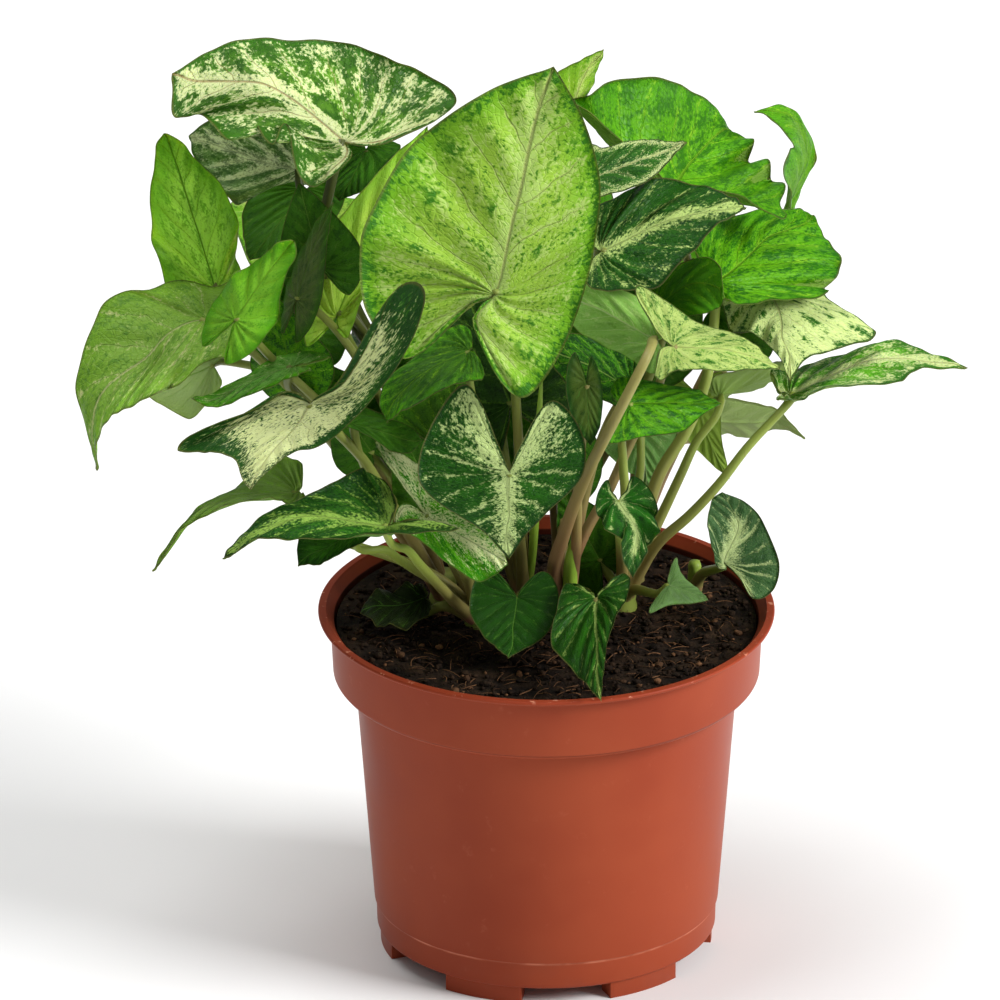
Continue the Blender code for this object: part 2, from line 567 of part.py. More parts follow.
def make_pot(parts, cutters):
    terracotta = plain_material("pot_plastic", (188, 92, 62), 0.42)
    profile = [
        (RIM_MOUTH_RADIUS, POT_HEIGHT),
        (RIM_RADIUS - 0.3 * MM, POT_HEIGHT),
        (RIM_RADIUS, POT_HEIGHT - 0.4 * MM),
        (RIM_RADIUS - 0.2 * MM, POT_HEIGHT - RIM_THICKNESS),
        (COLLAR_TOP_RADIUS + 0.7 * MM, POT_HEIGHT - RIM_THICKNESS - 0.3 * MM),
        (COLLAR_TOP_RADIUS, POT_HEIGHT - RIM_THICKNESS - 1.3 * MM),
        (COLLAR_FOOT_RADIUS, COLLAR_FOOT_Z + 1.2 * MM),
        (COLLAR_FOOT_RADIUS - 1.0 * MM, COLLAR_FOOT_Z),
        (BODY_TOP_RADIUS + 0.8 * MM, COLLAR_FOOT_Z - 0.3 * MM),
        (BODY_TOP_RADIUS, COLLAR_FOOT_Z - 1.2 * MM),
        (BODY_FOOT_RADIUS, STEP_Z),
        (BODY_FOOT_RADIUS - 0.35 * MM, STEP_Z - 0.3 * MM),
        (SKIRT_RADIUS, FLOOR_Z + 0.6 * MM),
        (SKIRT_RADIUS - 0.6 * MM, FLOOR_Z),
        (0.0, FLOOR_Z),
        (0.0, FLOOR_Z + WALL),
        (SKIRT_RADIUS - WALL - 0.8 * MM, FLOOR_Z + WALL),
        (BODY_FOOT_RADIUS - WALL - 0.3 * MM, STEP_Z),
        (BODY_TOP_RADIUS - WALL, COLLAR_FOOT_Z + 0.8 * MM),
        (COLLAR_FOOT_RADIUS - WALL - 0.9 * MM, COLLAR_FOOT_Z + 1.1 * MM),
        (COLLAR_FOOT_RADIUS - WALL, COLLAR_FOOT_Z + 2.0 * MM),
        (COLLAR_TOP_RADIUS - WALL, POT_HEIGHT - 2.6 * MM),
        (RIM_MOUTH_RADIUS, POT_HEIGHT),
    ]
    pot = turned("pot", profile, POT_STEPS, parts, terracotta)
    feet = [foot_block(i, cutters) for i in range(FOOT_COUNT)]
    combine(pot, feet, "UNION")
    drains = [drain_cutter(i, cutters) for i in range(FOOT_COUNT)]
    combine(pot, drains, "DIFFERENCE")
    pot.data.shade_smooth()
    pot.data.set_sharp_from_angle(angle=math.radians(35.0))
    return pot


def stem_radius(name):
    count = sum(1 for leaf in list(LEAVES.values()) + list(BACK_LEAVES.values()) if leaf["stem"] == name)
    return STEM_RADIUS + STEM_GROWTH * min(count, 6)


def make_soil(parts, cutters):
    """The root ball: fills the pot, its top uneven, with a plain hole for each stem."""
    dark = plain_material("soil_peat", (44, 30, 24), 0.95)
    low = FLOOR_Z + WALL + CLEARANCE
    profile = [
        (0.0, SOIL_Z),
        (14.0 * MM, SOIL_Z),
        (26.0 * MM, SOIL_Z),
        (38.0 * MM, SOIL_Z - 0.2 * MM),
        (48.0 * MM, SOIL_Z - 0.4 * MM),
        (pot_inner_radius(SOIL_Z) - WALL_CLEARANCE, SOIL_Z - 0.3 * MM),
        (COLLAR_FOOT_RADIUS - WALL - WALL_CLEARANCE, COLLAR_FOOT_Z + 2.5 * MM),
        (COLLAR_FOOT_RADIUS - WALL - 1.4 * MM, COLLAR_FOOT_Z + 1.6 * MM),
        (BODY_TOP_RADIUS - WALL - WALL_CLEARANCE, COLLAR_FOOT_Z + 1.2 * MM),
        (BODY_FOOT_RADIUS - WALL - WALL_CLEARANCE, STEP_Z),
        (SKIRT_RADIUS - WALL - 1.6 * MM, low),
        (0.0, low),
    ]
    soil = turned("soil", profile, SOIL_STEPS, parts, dark)
    waves = random.Random(SOIL_SEED)
    beats = [(waves.uniform(*SOIL_WAVES), waves.uniform(0, math.tau), waves.uniform(0, math.tau))
             for _ in range(SOIL_BEATS)]
    for vertex in soil.data.vertices:
        x, y, z = vertex.co
        reach = math.hypot(x, y)
        if z < SOIL_Z - 1.0 * MM or reach > SOIL_ROUGH_REACH:
            continue
        lift = sum(math.sin(rate * (x * math.cos(way) + y * math.sin(way)) + start)
                   for rate, way, start in beats)
        vertex.co.z += SOIL_ROUGH * lift / len(beats)
    holes = []
    for name, (x, y) in STEMS.items():
        shape = bmesh.new()
        radius = stem_radius(name) + CLEARANCE
        bmesh.ops.create_cone(shape, cap_ends=True, segments=STEM_SIDES, radius1=radius,
                              radius2=radius, depth=2.0 * STEM_DEPTH)
        mesh = bpy.data.meshes.new("hole_" + name)
        shape.to_mesh(mesh)
        shape.free()
        holes.append(add_object("hole_" + name, mesh, cutters, location=(x * MM, y * MM, SOIL_Z)))
    combine(soil, holes, "DIFFERENCE")
    return soil


def side_curve(sign, samples):
    """Margin points of one side of the flat leaf, from just past its heart round the lobe to its tip."""
    knots = [HEART] + [SIDE[name] for name in SIDE] + [TIP]
    knots = [Vector((u, sign * v)) for u, v in knots]
    points = []
    for i in range(1, samples + 1):
        place = (len(knots) - 1) * i / samples
        index = min(int(place), len(knots) - 2)
        share = place - index
        before = knots[max(index - 1, 0)]
        start, end = knots[index], knots[index + 1]
        after = knots[min(index + 2, len(knots) - 1)]
        slope_in = (end - before) * 0.5
        slope_out = (after - start) * 0.5
        points.append(
            start * (2 * share**3 - 3 * share**2 + 1) + slope_in * (share**3 - 2 * share**2 + share)
            + end * (3 * share**2 - 2 * share**3) + slope_out * (share**3 - share**2)
        )
    return points


def leaf_sheet(samples, ribs):
    """Points and triangles of the flat leaf: its margin, its midrib and a few places between."""
    left = side_curve(1, samples)
    right = side_curve(-1, samples)[:-1]
    margin = [Vector(HEART)] + left + right[::-1]
    midrib = [Vector((i / ribs, 0.0)) for i in range(1, ribs)]
    between = [Vector((u, sign * v)) for sign in (1, -1) for u, v in BETWEEN[ribs]]
    points = margin + midrib + between
    tip = samples
    spine = [0] + [len(margin) + i for i in range(len(midrib))] + [tip]
    spine_edges = list(zip(spine, spine[1:]))
    found = delaunay_2d_cdt(points, spine_edges, [list(range(len(margin)))], 1, 1e-6)
    return [tuple(point) for point in found[0]], found[2]


def warp(pairs):
    """Thin-plate map that carries flat leaf places (u, v) to their points in space."""
    flat = np.array([pair[0] for pair in pairs])
    space = np.array([pair[1][:] for pair in pairs])
    count = len(pairs)

    def kernel(points):
        gap = np.linalg.norm(points[:, None, :] - flat[None, :, :], axis=2)
        return gap**2 * np.log(gap + 1e-9)

    system = np.zeros((count + 3, count + 3))
    system[:count, :count] = kernel(flat) + WARP_EASE * np.eye(count)
    system[:count, count:] = np.column_stack([np.ones(count), flat])
    system[count:, :count] = system[:count, count:].T
    weights = np.linalg.solve(system, np.vstack([space, np.zeros((3, 3))]))

    def apply(points):
        points = np.asarray(points, float)
        basis = np.column_stack([kernel(points), np.ones(len(points)), points])
        return basis @ weights

    return apply


def leaf_pairs(leaf):
    """The leaf's named places with their points in the pot's frame."""
    pairs = [(HEART, seen(*leaf["heart"])), (MID, seen(*leaf["mid"])), (TIP, seen(*leaf["tip"]))]
    for flat, place in leaf.get("edge", []):
        pairs.append((flat, seen(*place)))
    for sign, side in ((1, "left"), (-1, "right")):
        for (u, v), place in zip(SIDE.values(), leaf[side]):
            if place:
                pairs.append(((u, sign * v), seen(*place)))
    return pairs


def back_pairs(leaf):
    """The same for a leaf given by its heart, its midrib's direction and its size."""
    heading, pitch, roll = (math.radians(leaf[key]) for key in ("heading", "pitch", "roll"))
    length, width, droop = (part * MM for part in leaf["size"])
    level = math.cos(pitch)
    ahead = Vector((math.cos(heading) * level, math.sin(heading) * level, math.sin(pitch)))
    left = Vector((-math.sin(heading), math.cos(heading), 0.0))
    up = ahead.cross(left)
    left, up = left * math.cos(roll) + up * math.sin(roll), up * math.cos(roll) - left * math.sin(roll)
    heart = Vector(leaf["place"]) * MM
    places = [HEART, MID, TIP] + [(u, sign * v) for sign in (1, -1) for u, v in SIDE.values()]
    pairs = []
    for u, v in places:
        sag = droop * (u * abs(u) * 0.8 + 1.3 * v * v)
        pairs.append(((u, v), heart + ahead * (length * u) + left * (width * v / 0.88) - up * sag))
    return pairs


def leaf_frame(place_on):
    """Heart and upper-side normal of a leaf."""
    around = place_on([(0.02, 0.0), (0.22, 0.0), (0.05, 0.12), (0.05, -0.12)])
    heart, ahead, left, right = (Vector(point) for point in around)
    along = (ahead - heart).normalized()
    up = along.cross(left - right).normalized()
    return heart, up


def blade_normals(place_on, flats):
    """Upper-side normals of the warped leaf at flat places, as unit rows."""
    step = NORMAL_STEP
    ahead = place_on(flats + [step, 0.0]) - place_on(flats - [step, 0.0])
    left = place_on(flats + [0.0, step]) - place_on(flats - [0.0, step])
    normals = np.cross(ahead, left)
    return normals / np.linalg.norm(normals, axis=1)[:, None]


def make_blade(name, pairs, parts, material):
    """One leaf blade: a flat sheet, doubled to its thickness and carried to its place."""
    place_on = warp(pairs)
    heart, _ = leaf_frame(place_on)
    large = (Vector(pairs[0][1]) - Vector(pairs[2][1])).length > LARGE_LEAF
    points, triangles = leaf_sheet(*(LARGE_SPLIT if large else SMALL_SPLIT))
    shape = bmesh.new()
    verts = [shape.verts.new((*point, 0.0)) for point in points]
    for triangle in triangles:
        shape.faces.new([verts[corner] for corner in triangle])
    doubled = bmesh.ops.extrude_face_region(shape, geom=shape.faces[:])["geom"]
    upper = {part for part in doubled if isinstance(part, bmesh.types.BMVert)}
    flats = np.array([vertex.co[:2] for vertex in shape.verts])
    for vertex, point, normal in zip(shape.verts, place_on(flats), blade_normals(place_on, flats)):
        side = 0.5 if vertex in upper else -0.5
        vertex.co = Vector(point + normal * (side * BLADE)) - heart
    bmesh.ops.recalc_face_normals(shape, faces=shape.faces)
    mesh = bpy.data.meshes.new(name)
    shape.to_mesh(mesh)
    shape.free()
    mesh.shade_smooth()
    return add_object(name, mesh, parts, material, location=heart)


def smooth_route(knots, count):
    """Points spread along a smooth curve through the knots."""
    knots = [Vector(knot) for knot in knots]
    dense = []
    for i in range(len(knots) - 1):
        before = knots[i - 1] if i else knots[i] * 2 - knots[i + 1]
        after = knots[i + 2] if i + 2 < len(knots) else knots[i + 1] * 2 - knots[i]
        start, end = knots[i], knots[i + 1]
        slope_in, slope_out = (end - before) * 0.5, (after - start) * 0.5
        for step in range(CURVE_STEPS):
            share = step / CURVE_STEPS
            dense.append(
                start * (2 * share**3 - 3 * share**2 + 1) + slope_in * (share**3 - 2 * share**2 + share)
                + end * (3 * share**2 - 2 * share**3) + slope_out * (share**3 - share**2)
            )
    dense.append(knots[-1])
    reach = [0.0]
    for first, second in zip(dense, dense[1:]):
        reach.append(reach[-1] + (second - first).length)
    wanted = np.linspace(0.0, reach[-1], count)
    axes = [np.interp(wanted, reach, [point[axis] for point in dense]) for axis in range(3)]
    return [Vector(point) for point in zip(*axes)]


def tube(name, points, radii, collection):
    """A round stalk along the points, as a welded mesh with closed ends."""
    curve = bpy.data.curves.new(name, "CURVE")
    curve.dimensions = "3D"
    curve.bevel_depth = 1.0
    curve.bevel_resolution = STALK_SIDES_RESOLUTION
    curve.use_fill_caps = True
    spline = curve.splines.new("POLY")
    spline.points.add(len(points) - 1)
    for slot, point, radius in zip(spline.points, points, radii):
        slot.co = (*point, 1.0)
        slot.radius = radius
    stalk = bpy.data.objects.new(name + "_route", curve)
    collection.objects.link(stalk)
    bpy.context.view_layer.update()
    mesh = evaluated_mesh(stalk)
    bpy.data.objects.remove(stalk, do_unlink=True)
    return add_object(name, mesh, collection)


def stalk_route(leaf, frame, stem):
    """The stalk's points from inside its stem to just under the heart of its blade."""
    heart, up = frame
    rise = Vector((0.0, 0.0, 1.0))
    arrive = (up + rise * 0.6).normalized()
    if arrive.dot(up) < 0.5:
        arrive = (arrive + up).normalized()
    seat = heart - up * (BLADE / 2.0 + leaf.get("gap", SEAT_GAP) * MM)
    x, y = stem
    foot = Vector((x * MM, y * MM, SOIL_Z + 1.0 * MM))
    if "via" in leaf:
        knots = [foot] + [seen(*place) for place in leaf["via"]] + [seat - arrive * ARRIVAL, seat]
    else:
        span = (seat - foot).length
        first = foot + (rise + (seat - foot).normalized() * 0.6).normalized() * span * 0.4
        second = seat - arrive * span * 0.28
        knots = []
        for step in range(6):
            share = step / 5
            rest = 1.0 - share
            knots.append(foot * rest**3 + first * (3 * rest**2 * share) + second * (3 * rest * share**2)
                         + seat * share**3)
    points = smooth_route(knots, STALK_POINTS + (1 if "via" in leaf else 0))
    top_radius = leaf.get("stalk", STALK_RADIUS) * MM * TOP_SHARE
    last = (seat - points[-2]).normalized()
    tilt = math.sqrt(max(0.0, 1.0 - last.dot(up) ** 2))
    points[-1] = seat - up * top_radius * tilt
    return points


def make_stalks(name, place, frames, parts, cutters, material):
    """One plantlet: a short stem that stands in its hole, and the stalks that grow from it."""
    radius = stem_radius(name)
    shape = bmesh.new()
    height = STEM_DEPTH - CLEARANCE + STEM_HEIGHT
    bmesh.ops.create_cone(shape, cap_ends=True, segments=STEM_SIDES, radius1=radius,
                          radius2=radius * STEM_TAPER, depth=height)
    mesh = bpy.data.meshes.new("stalks_" + name)
    shape.to_mesh(mesh)
    shape.free()
    middle = SOIL_Z - STEM_DEPTH + CLEARANCE + height / 2.0
    stem = add_object("stalks_" + name, mesh, parts, material, (place[0] * MM, place[1] * MM, middle))
    stalks = []
    for leaf_name, (leaf, frame) in frames.items():
        points = stalk_route(leaf, frame, place)
        size = leaf.get("stalk", STALK_RADIUS) * MM
        taper = [i / (len(points) - 1) for i in range(len(points))]
        radii = [size * (FOOT_SHARE + (TOP_SHARE - FOOT_SHARE) * share) for share in taper]
        radii[0] = size * ROOT_SHARE
        stalks.append(tube("stalk_" + leaf_name, points, radii, cutters))
    if name in ROLLED:
        young = ROLLED[name]
        foot = Vector((place[0] * MM, place[1] * MM, SOIL_Z + 2.0 * MM))
        knots = [foot, seen(*young["foot"]), seen(*young["belly"]), seen(*young["point"])]
        points = smooth_route(knots, STALK_POINTS)
        size = young["radius"] * MM
        swell = [0.7, 0.8, 0.95, 1.0, 0.9, 0.6, 0.12]
        stalks.append(tube("rolled_" + name, points, [size * part for part in swell], cutters))
    combine(stem, stalks, "UNION")
    stem.data.shade_smooth()
    return stem


def main():
    for old in list(bpy.data.objects):
        bpy.data.objects.remove(old, do_unlink=True)
    scene = bpy.context.scene
    parts = bpy.data.collections.new("potted_syngonium")
    cutters = bpy.data.collections.new("cutters")
    scene.collection.children.link(parts)
    scene.collection.children.link(cutters)
    axis = bpy.data.objects.new("plant_axis", None)
    parts.objects.link(axis)
    axis.location = AXIS_PLACE

    make_pot(parts, cutters)
    make_soil(parts, cutters)

    blades = {tone: plain_material("leaf_" + tone, colour, 0.45) for tone, colour in TONES.items()}
    stalk_green = plain_material("leaf_stalk", (148, 140, 96), 0.5)
    growth = {name: {} for name in STEMS}
    for name, leaf in list(LEAVES.items()) + list(BACK_LEAVES.items()):
        pairs = leaf_pairs(leaf) if name in LEAVES else back_pairs(leaf)
        make_blade("leaf_" + name, pairs, parts, blades[leaf["tone"]])
        growth[leaf["stem"]][name] = (leaf, leaf_frame(warp(pairs)))
    for name, place in STEMS.items():
        make_stalks(name, place, growth[name], parts, cutters, stalk_green)


main()
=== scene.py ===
import math
import random

import bmesh
import bpy
import numpy as np
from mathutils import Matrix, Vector, noise


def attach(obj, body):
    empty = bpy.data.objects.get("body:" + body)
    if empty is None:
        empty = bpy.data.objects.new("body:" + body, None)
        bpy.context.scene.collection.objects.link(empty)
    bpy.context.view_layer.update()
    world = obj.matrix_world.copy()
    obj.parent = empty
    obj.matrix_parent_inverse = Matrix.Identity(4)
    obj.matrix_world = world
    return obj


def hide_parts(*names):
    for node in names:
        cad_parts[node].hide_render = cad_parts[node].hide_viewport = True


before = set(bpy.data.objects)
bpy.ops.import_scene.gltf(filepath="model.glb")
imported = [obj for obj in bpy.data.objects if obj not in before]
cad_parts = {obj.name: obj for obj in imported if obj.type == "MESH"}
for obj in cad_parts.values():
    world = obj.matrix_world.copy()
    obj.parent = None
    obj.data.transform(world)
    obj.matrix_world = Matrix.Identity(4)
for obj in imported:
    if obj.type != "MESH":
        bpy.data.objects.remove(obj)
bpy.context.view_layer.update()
print("frame loaded:", len(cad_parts), "nodes")

mm = 0.001

# the front view that the plant's places were read in: pixels to metres round the pot's axis
frontView = {
    "pixelsPerMetre": 3810.0,
    "rimCentre": (546.4, 608.0),
    "tilt": math.radians(24.3),
    "rimHeight": 94.3 * mm,
    "axis": Vector((6.2 * mm, -23.6 * mm, 0.0)),
}


def seen(across, down, depth):
    rise = (frontView["rimCentre"][1] - down) / frontView["pixelsPerMetre"]
    tilt = frontView["tilt"]
    z = frontView["rimHeight"] + (rise - depth * mm * math.sin(tilt)) / math.cos(tilt)
    x = (across - frontView["rimCentre"][0]) / frontView["pixelsPerMetre"]
    return Vector((x, depth * mm, z)) + frontView["axis"]


# a step across and down in pixels and in mm toward the viewer
def seenStep(across, down, toward):
    tilt = frontView["tilt"]
    rise = -down / frontView["pixelsPerMetre"] + toward * mm * math.sin(tilt)
    return Vector((across / frontView["pixelsPerMetre"], -toward * mm, rise / math.cos(tilt)))


def onPot(x, y, z):
    return Vector((x, y, z)) + frontView["axis"]


# a place at a reach and a turn round the pot's axis
def roundPot(reach, turn, z):
    return onPot(reach * math.sin(turn), -reach * math.cos(turn), z)


# a value in a node tree, which takes part in sums as a number does
class wire:
    def __init__(self, tree, socket):
        self.tree = tree
        self.socket = socket

    def __add__(self, other):
        return calc("ADD", self, other)

    def __sub__(self, other):
        return calc("SUBTRACT", self, other)

    def __rsub__(self, other):
        return calc("SUBTRACT", other, self)

    def __mul__(self, other):
        return calc("MULTIPLY", self, other)

    def __truediv__(self, other):
        return calc("DIVIDE", self, other)


def feed(sockets, values):
    for key, value in values.items():
        if isinstance(value, wire):
            value.tree.links.new(value.socket, sockets[key])
        else:
            sockets[key].default_value = value


# adds a node, sets it up and gives one of its outputs
def made(tree, kind, output, values, **settings):
    node = tree.nodes.new(kind)
    for key, value in settings.items():
        setattr(node, key, value)
    feed(node.inputs, values)
    return wire(tree, node.outputs[output])


def calc(operation, first, second=None, clamp=False):
    tree = first.tree if isinstance(first, wire) else second.tree
    values = {0: first} if second is None else {0: first, 1: second}
    return made(tree, "ShaderNodeMath", 0, values, operation=operation, use_clamp=clamp)


def larger(first, second):
    return calc("MAXIMUM", first, second)


def ramp(value, low, high, start=0.0, end=1.0, shape="SMOOTHSTEP"):
    values = {"Value": value, "From Min": low, "From Max": high, "To Min": start, "To Max": end}
    return made(value.tree, "ShaderNodeMapRange", "Result", values, interpolation_type=shape)


def cloud(place, scale, detail=3.0, roughness=0.55):
    values = {"Vector": place, "Scale": scale, "Detail": detail, "Roughness": roughness}
    return made(place.tree, "ShaderNodeTexNoise", "Fac", values)


# a colour as the shaders take it, from red, green and blue between 0 and 255
def paint(colour):
    parts = [part / 255.0 for part in colour]
    return (*(part / 12.92 if part <= 0.04045 else ((part + 0.055) / 1.055) ** 2.4 for part in parts), 1.0)


def blend(share, first, second):
    first, second = (paint(part) if isinstance(part, tuple) else part for part in (first, second))
    return made(share.tree, "ShaderNodeMix", 2, {0: share, 6: first, 7: second}, data_type="RGBA")


def gather(x, y, z):
    return made(x.tree, "ShaderNodeCombineXYZ", 0, {0: x, 1: y, 2: z})


def spread(vector):
    node = vector.tree.nodes.new("ShaderNodeSeparateXYZ")
    feed(node.inputs, {0: vector})
    return [wire(vector.tree, socket) for socket in node.outputs]


def stored(tree, name):
    return made(tree, "ShaderNodeAttribute", "Vector", {}, attribute_name=name)


def stretched(place, scale):
    return made(place.tree, "ShaderNodeMapping", 0, {"Vector": place, "Scale": scale})


def bumped(height, strength, distance):
    values = {"Height": height, "Strength": strength, "Distance": distance}
    return made(height.tree, "ShaderNodeBump", "Normal", values)


def objectPlace(tree):
    return made(tree, "ShaderNodeTexCoord", "Object", {})


def wires(tree, sockets):
    return {socket.name: wire(tree, socket) for socket in sockets}


def newGroup(name, vectors, numbers, results):
    tree = bpy.data.node_groups.new(name, "ShaderNodeTree")
    for labels, way, kind in ((vectors, "INPUT", "NodeSocketVector"), (numbers, "INPUT", "NodeSocketFloat"),
                              (results, "OUTPUT", "NodeSocketFloat")):
        for label in labels:
            tree.interface.new_socket(label, in_out=way, socket_type=kind)
    given = wires(tree, tree.nodes.new("NodeGroupInput").outputs)
    return tree, given, tree.nodes.new("NodeGroupOutput").inputs


def useGroup(tree, group, values):
    node = tree.nodes.new("ShaderNodeGroup")
    node.node_tree = group
    feed(node.inputs, values)
    return wires(tree, node.outputs)


def newMaterial(name):
    material = bpy.data.materials.new(name)
    material.use_nodes = True
    tree = material.node_tree
    return material, tree, tree.nodes["Principled BSDF"].inputs


# fine grain and slow unevenness that any surface here can take
def makeGrainGroup():
    tree, given, result = newGroup("surfaceGrain", ("Place",), ("Grain Scale", "Cloud Scale"),
                                   ("Grain", "Cloud"))
    feed(result, {"Grain": cloud(given["Place"], given["Grain Scale"], 2.0),
                  "Cloud": cloud(given["Place"], given["Cloud Scale"])})
    return tree


# the dials of the leaf's marks and their keys in a leaf's look
leafDials = {
    "Rib Band": "rib", "Lobe Band": "lobe", "Rib End": "ribEnd", "Vein Band": "veins",
    "Pale Patches": "patches", "Deep Patches": "deepPatches", "Blocks": "blocks", "Specks": "specks",
    "Edge Band": "edge", "Pale Edge": "paleEdge",
}


# variegation: a pale band on the rib, pale veins, patches, dark blocks between veins and small specks
def makeLeafGroup():
    tree, given, result = newGroup(
        "leafMarks", ("Place", "Veins", "Rim"),
        (*leafDials, "Zone Turn", "Zone Start", "Zone Pull", "Seed"),
        ("Pale", "Deep", "Height", "Vein Line", "Tone", "Outline", "Inner"))
    along, out, fromRib = spread(given["Veins"])
    u, v, side = spread(given["Place"])
    fromEdge = spread(given["Rim"])[0]
    seed = side * 7.3 + given["Seed"]
    flat = gather(u, v, seed)

    # side veins: 1 on a vein, 0 halfway between two; each vein has a strength of its own
    wobble = cloud(flat, 4.0) - 0.5
    phase = along + wobble * 0.8
    wave = calc("ABSOLUTE", calc("FRACT", phase) - 0.5) * 2.0
    cell = calc("FLOOR", phase + 0.5)
    own = ramp(cloud(gather(cell * 7.77, seed, 0.4), 1.0, 0.0), 0.4, 0.6)
    veinLine = ramp(wave, 0.945, 0.99) * ramp(out, 1.0, 0.5)
    line = larger(veinLine * 0.7, ramp(fromRib, 0.008, 0.002))

    # noise drawn out a little along the side veins, and small specks
    streak = cloud(gather(phase * 1.6, out * 3.2, seed), 1.6, 6.0, 0.66)
    other = cloud(gather(phase + 17.0, out * 3.6, seed), 1.7, 6.0, 0.66)
    dots = cloud(flat, 62.0, 3.0, 0.62)
    drawn = cloud(gather(phase * 10.0, out * 9.0, seed), 1.0, 4.0, 0.7)
    fleck = (drawn * 0.35 + dots * 0.65 - 0.5) * given["Specks"] * 6.0
    room = cloud(flat, 5.0)
    strength = given["Specks"] * 0.6
    lightSpecks = calc("MULTIPLY", ramp(dots, 0.59, 0.66) * ramp(room, 0.44, 0.6), strength, clamp=True)
    darkSpecks = calc("MULTIPLY", ramp(dots, 0.43, 0.35) * ramp(room, 0.54, 0.4), strength, clamp=True)

    # one end of the leaf can be paler than the other
    turn = calc("RADIANS", given["Zone Turn"])
    reach = u * calc("COSINE", turn) + v * calc("SINE", turn)
    zone = (reach - given["Zone Start"]) * given["Zone Pull"]

    # the pale field: the rib's band, the veins, patches and the margin, whichever is strongest
    band = given["Rib Band"] * (ramp(u, 0.02, -0.12) * given["Lobe Band"] + 1.0)
    rib = 1.0 - fromRib / band + (streak - 0.5) * 3.0 - larger(u - given["Rib End"], 0.0) * 12.0
    taper = given["Vein Band"] * (1.15 - out) * (own * 1.2 + 0.15)
    vein = (wave + taper - 1.0) * 2.4 + (streak - 0.52) * 3.6
    patch = (streak + given["Pale Patches"] - 1.0) * 5.0 + zone
    border = 1.4 - fromEdge * 1.4 / given["Pale Edge"] + (streak - 0.5)
    edge = ramp(fromEdge, given["Edge Band"], 0.0) * 2.6
    field = larger(larger(larger(rib, vein), patch), border) + fleck - edge

    # dark blocks between the veins cut into it
    blockPlace = gather(calc("FLOOR", phase) * 2.37, out * 4.4, seed)
    uneven = cloud(blockPlace, 1.4) * 0.6 + cloud(flat, 9.0, 4.0, 0.6) * 0.4
    block = (uneven + given["Blocks"] - 1.0) * 9.0 + (0.5 - wave) * 2.4 - ramp(fromRib, 0.07, 0.02, 0.0, 3.0)
    block = ramp(block - fleck, -0.3, 1.0)
    kept = 1.0 - larger(darkSpecks * 0.6, block)
    lightSpecks = lightSpecks * ramp(field, -3.0, -0.6)

    deep = (other + given["Deep Patches"] - 1.0) * 5.0 + (0.6 - wave) * 0.7 - fleck + edge * 0.65
    varied = block * ramp(cloud(flat, 20.0), 0.36, 0.62, 0.45, 1.0)

    # fine net of small veins for the bump
    net = made(tree, "ShaderNodeTexVoronoi", "Distance", {"Vector": flat, "Scale": 34.0},
               feature="DISTANCE_TO_EDGE")
    small = calc("ABSOLUTE", calc("FRACT", phase * 5.0) - 0.5)
    feed(result, {
        "Pale": larger(ramp(field, -0.5, 0.8) * kept, lightSpecks * 0.75),
        "Deep": larger(ramp(deep, -0.4, 0.9), larger(varied, darkSpecks)),
        "Height": ramp(net, 0.0, 0.12) * 0.25 - line * 0.8 - ramp(small, 0.38, 0.5) * 0.2,
        "Vein Line": line,
        "Tone": cloud(flat, 2.6),
        "Outline": ramp(fromEdge, 0.011, 0.003),
        "Inner": ramp(fromEdge + wobble * 0.12, 0.0, 0.2),
    })
    return tree


grainGroup = makeGrainGroup()
leafGroup = makeLeafGroup()
print("effects ready")


def linked(name, data):
    thing = bpy.data.objects.new(name, data)
    bpy.context.scene.collection.objects.link(thing)
    return thing


def addPiece(name, mesh, material, node, slot):
    piece = linked(name, mesh)
    mesh.materials.clear()
    mesh.materials.append(material)
    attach(piece, "root")
    if node:
        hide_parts(node)


def meshFrom(name, points, faces, smooth=True):
    mesh = bpy.data.meshes.new(name)
    mesh.from_pydata([tuple(point) for point in points], [], faces)
    mesh.update()
    if smooth:
        mesh.shade_smooth()
    return mesh


def store(mesh, name, values):
    layer = mesh.attributes.new(name, "FLOAT_VECTOR", "POINT")
    layer.data.foreach_set("vector", np.asarray(values, dtype=np.float32).ravel())


def hermite(start, end, slopeIn, slopeOut, share):
    return (start * (2 * share**3 - 3 * share**2 + 1) + slopeIn * (share**3 - 2 * share**2 + share)
            + end * (3 * share**2 - 2 * share**3) + slopeOut * (share**3 - share**2))


def easedCurve(knots, place):
    index = min(int(place), len(knots) - 2)
    start, end = knots[index], knots[index + 1]
    before, after = knots[max(index - 1, 0)], knots[min(index + 2, len(knots) - 1)]
    return hermite(start, end, (end - before) * 0.5, (after - start) * 0.5, place - index)


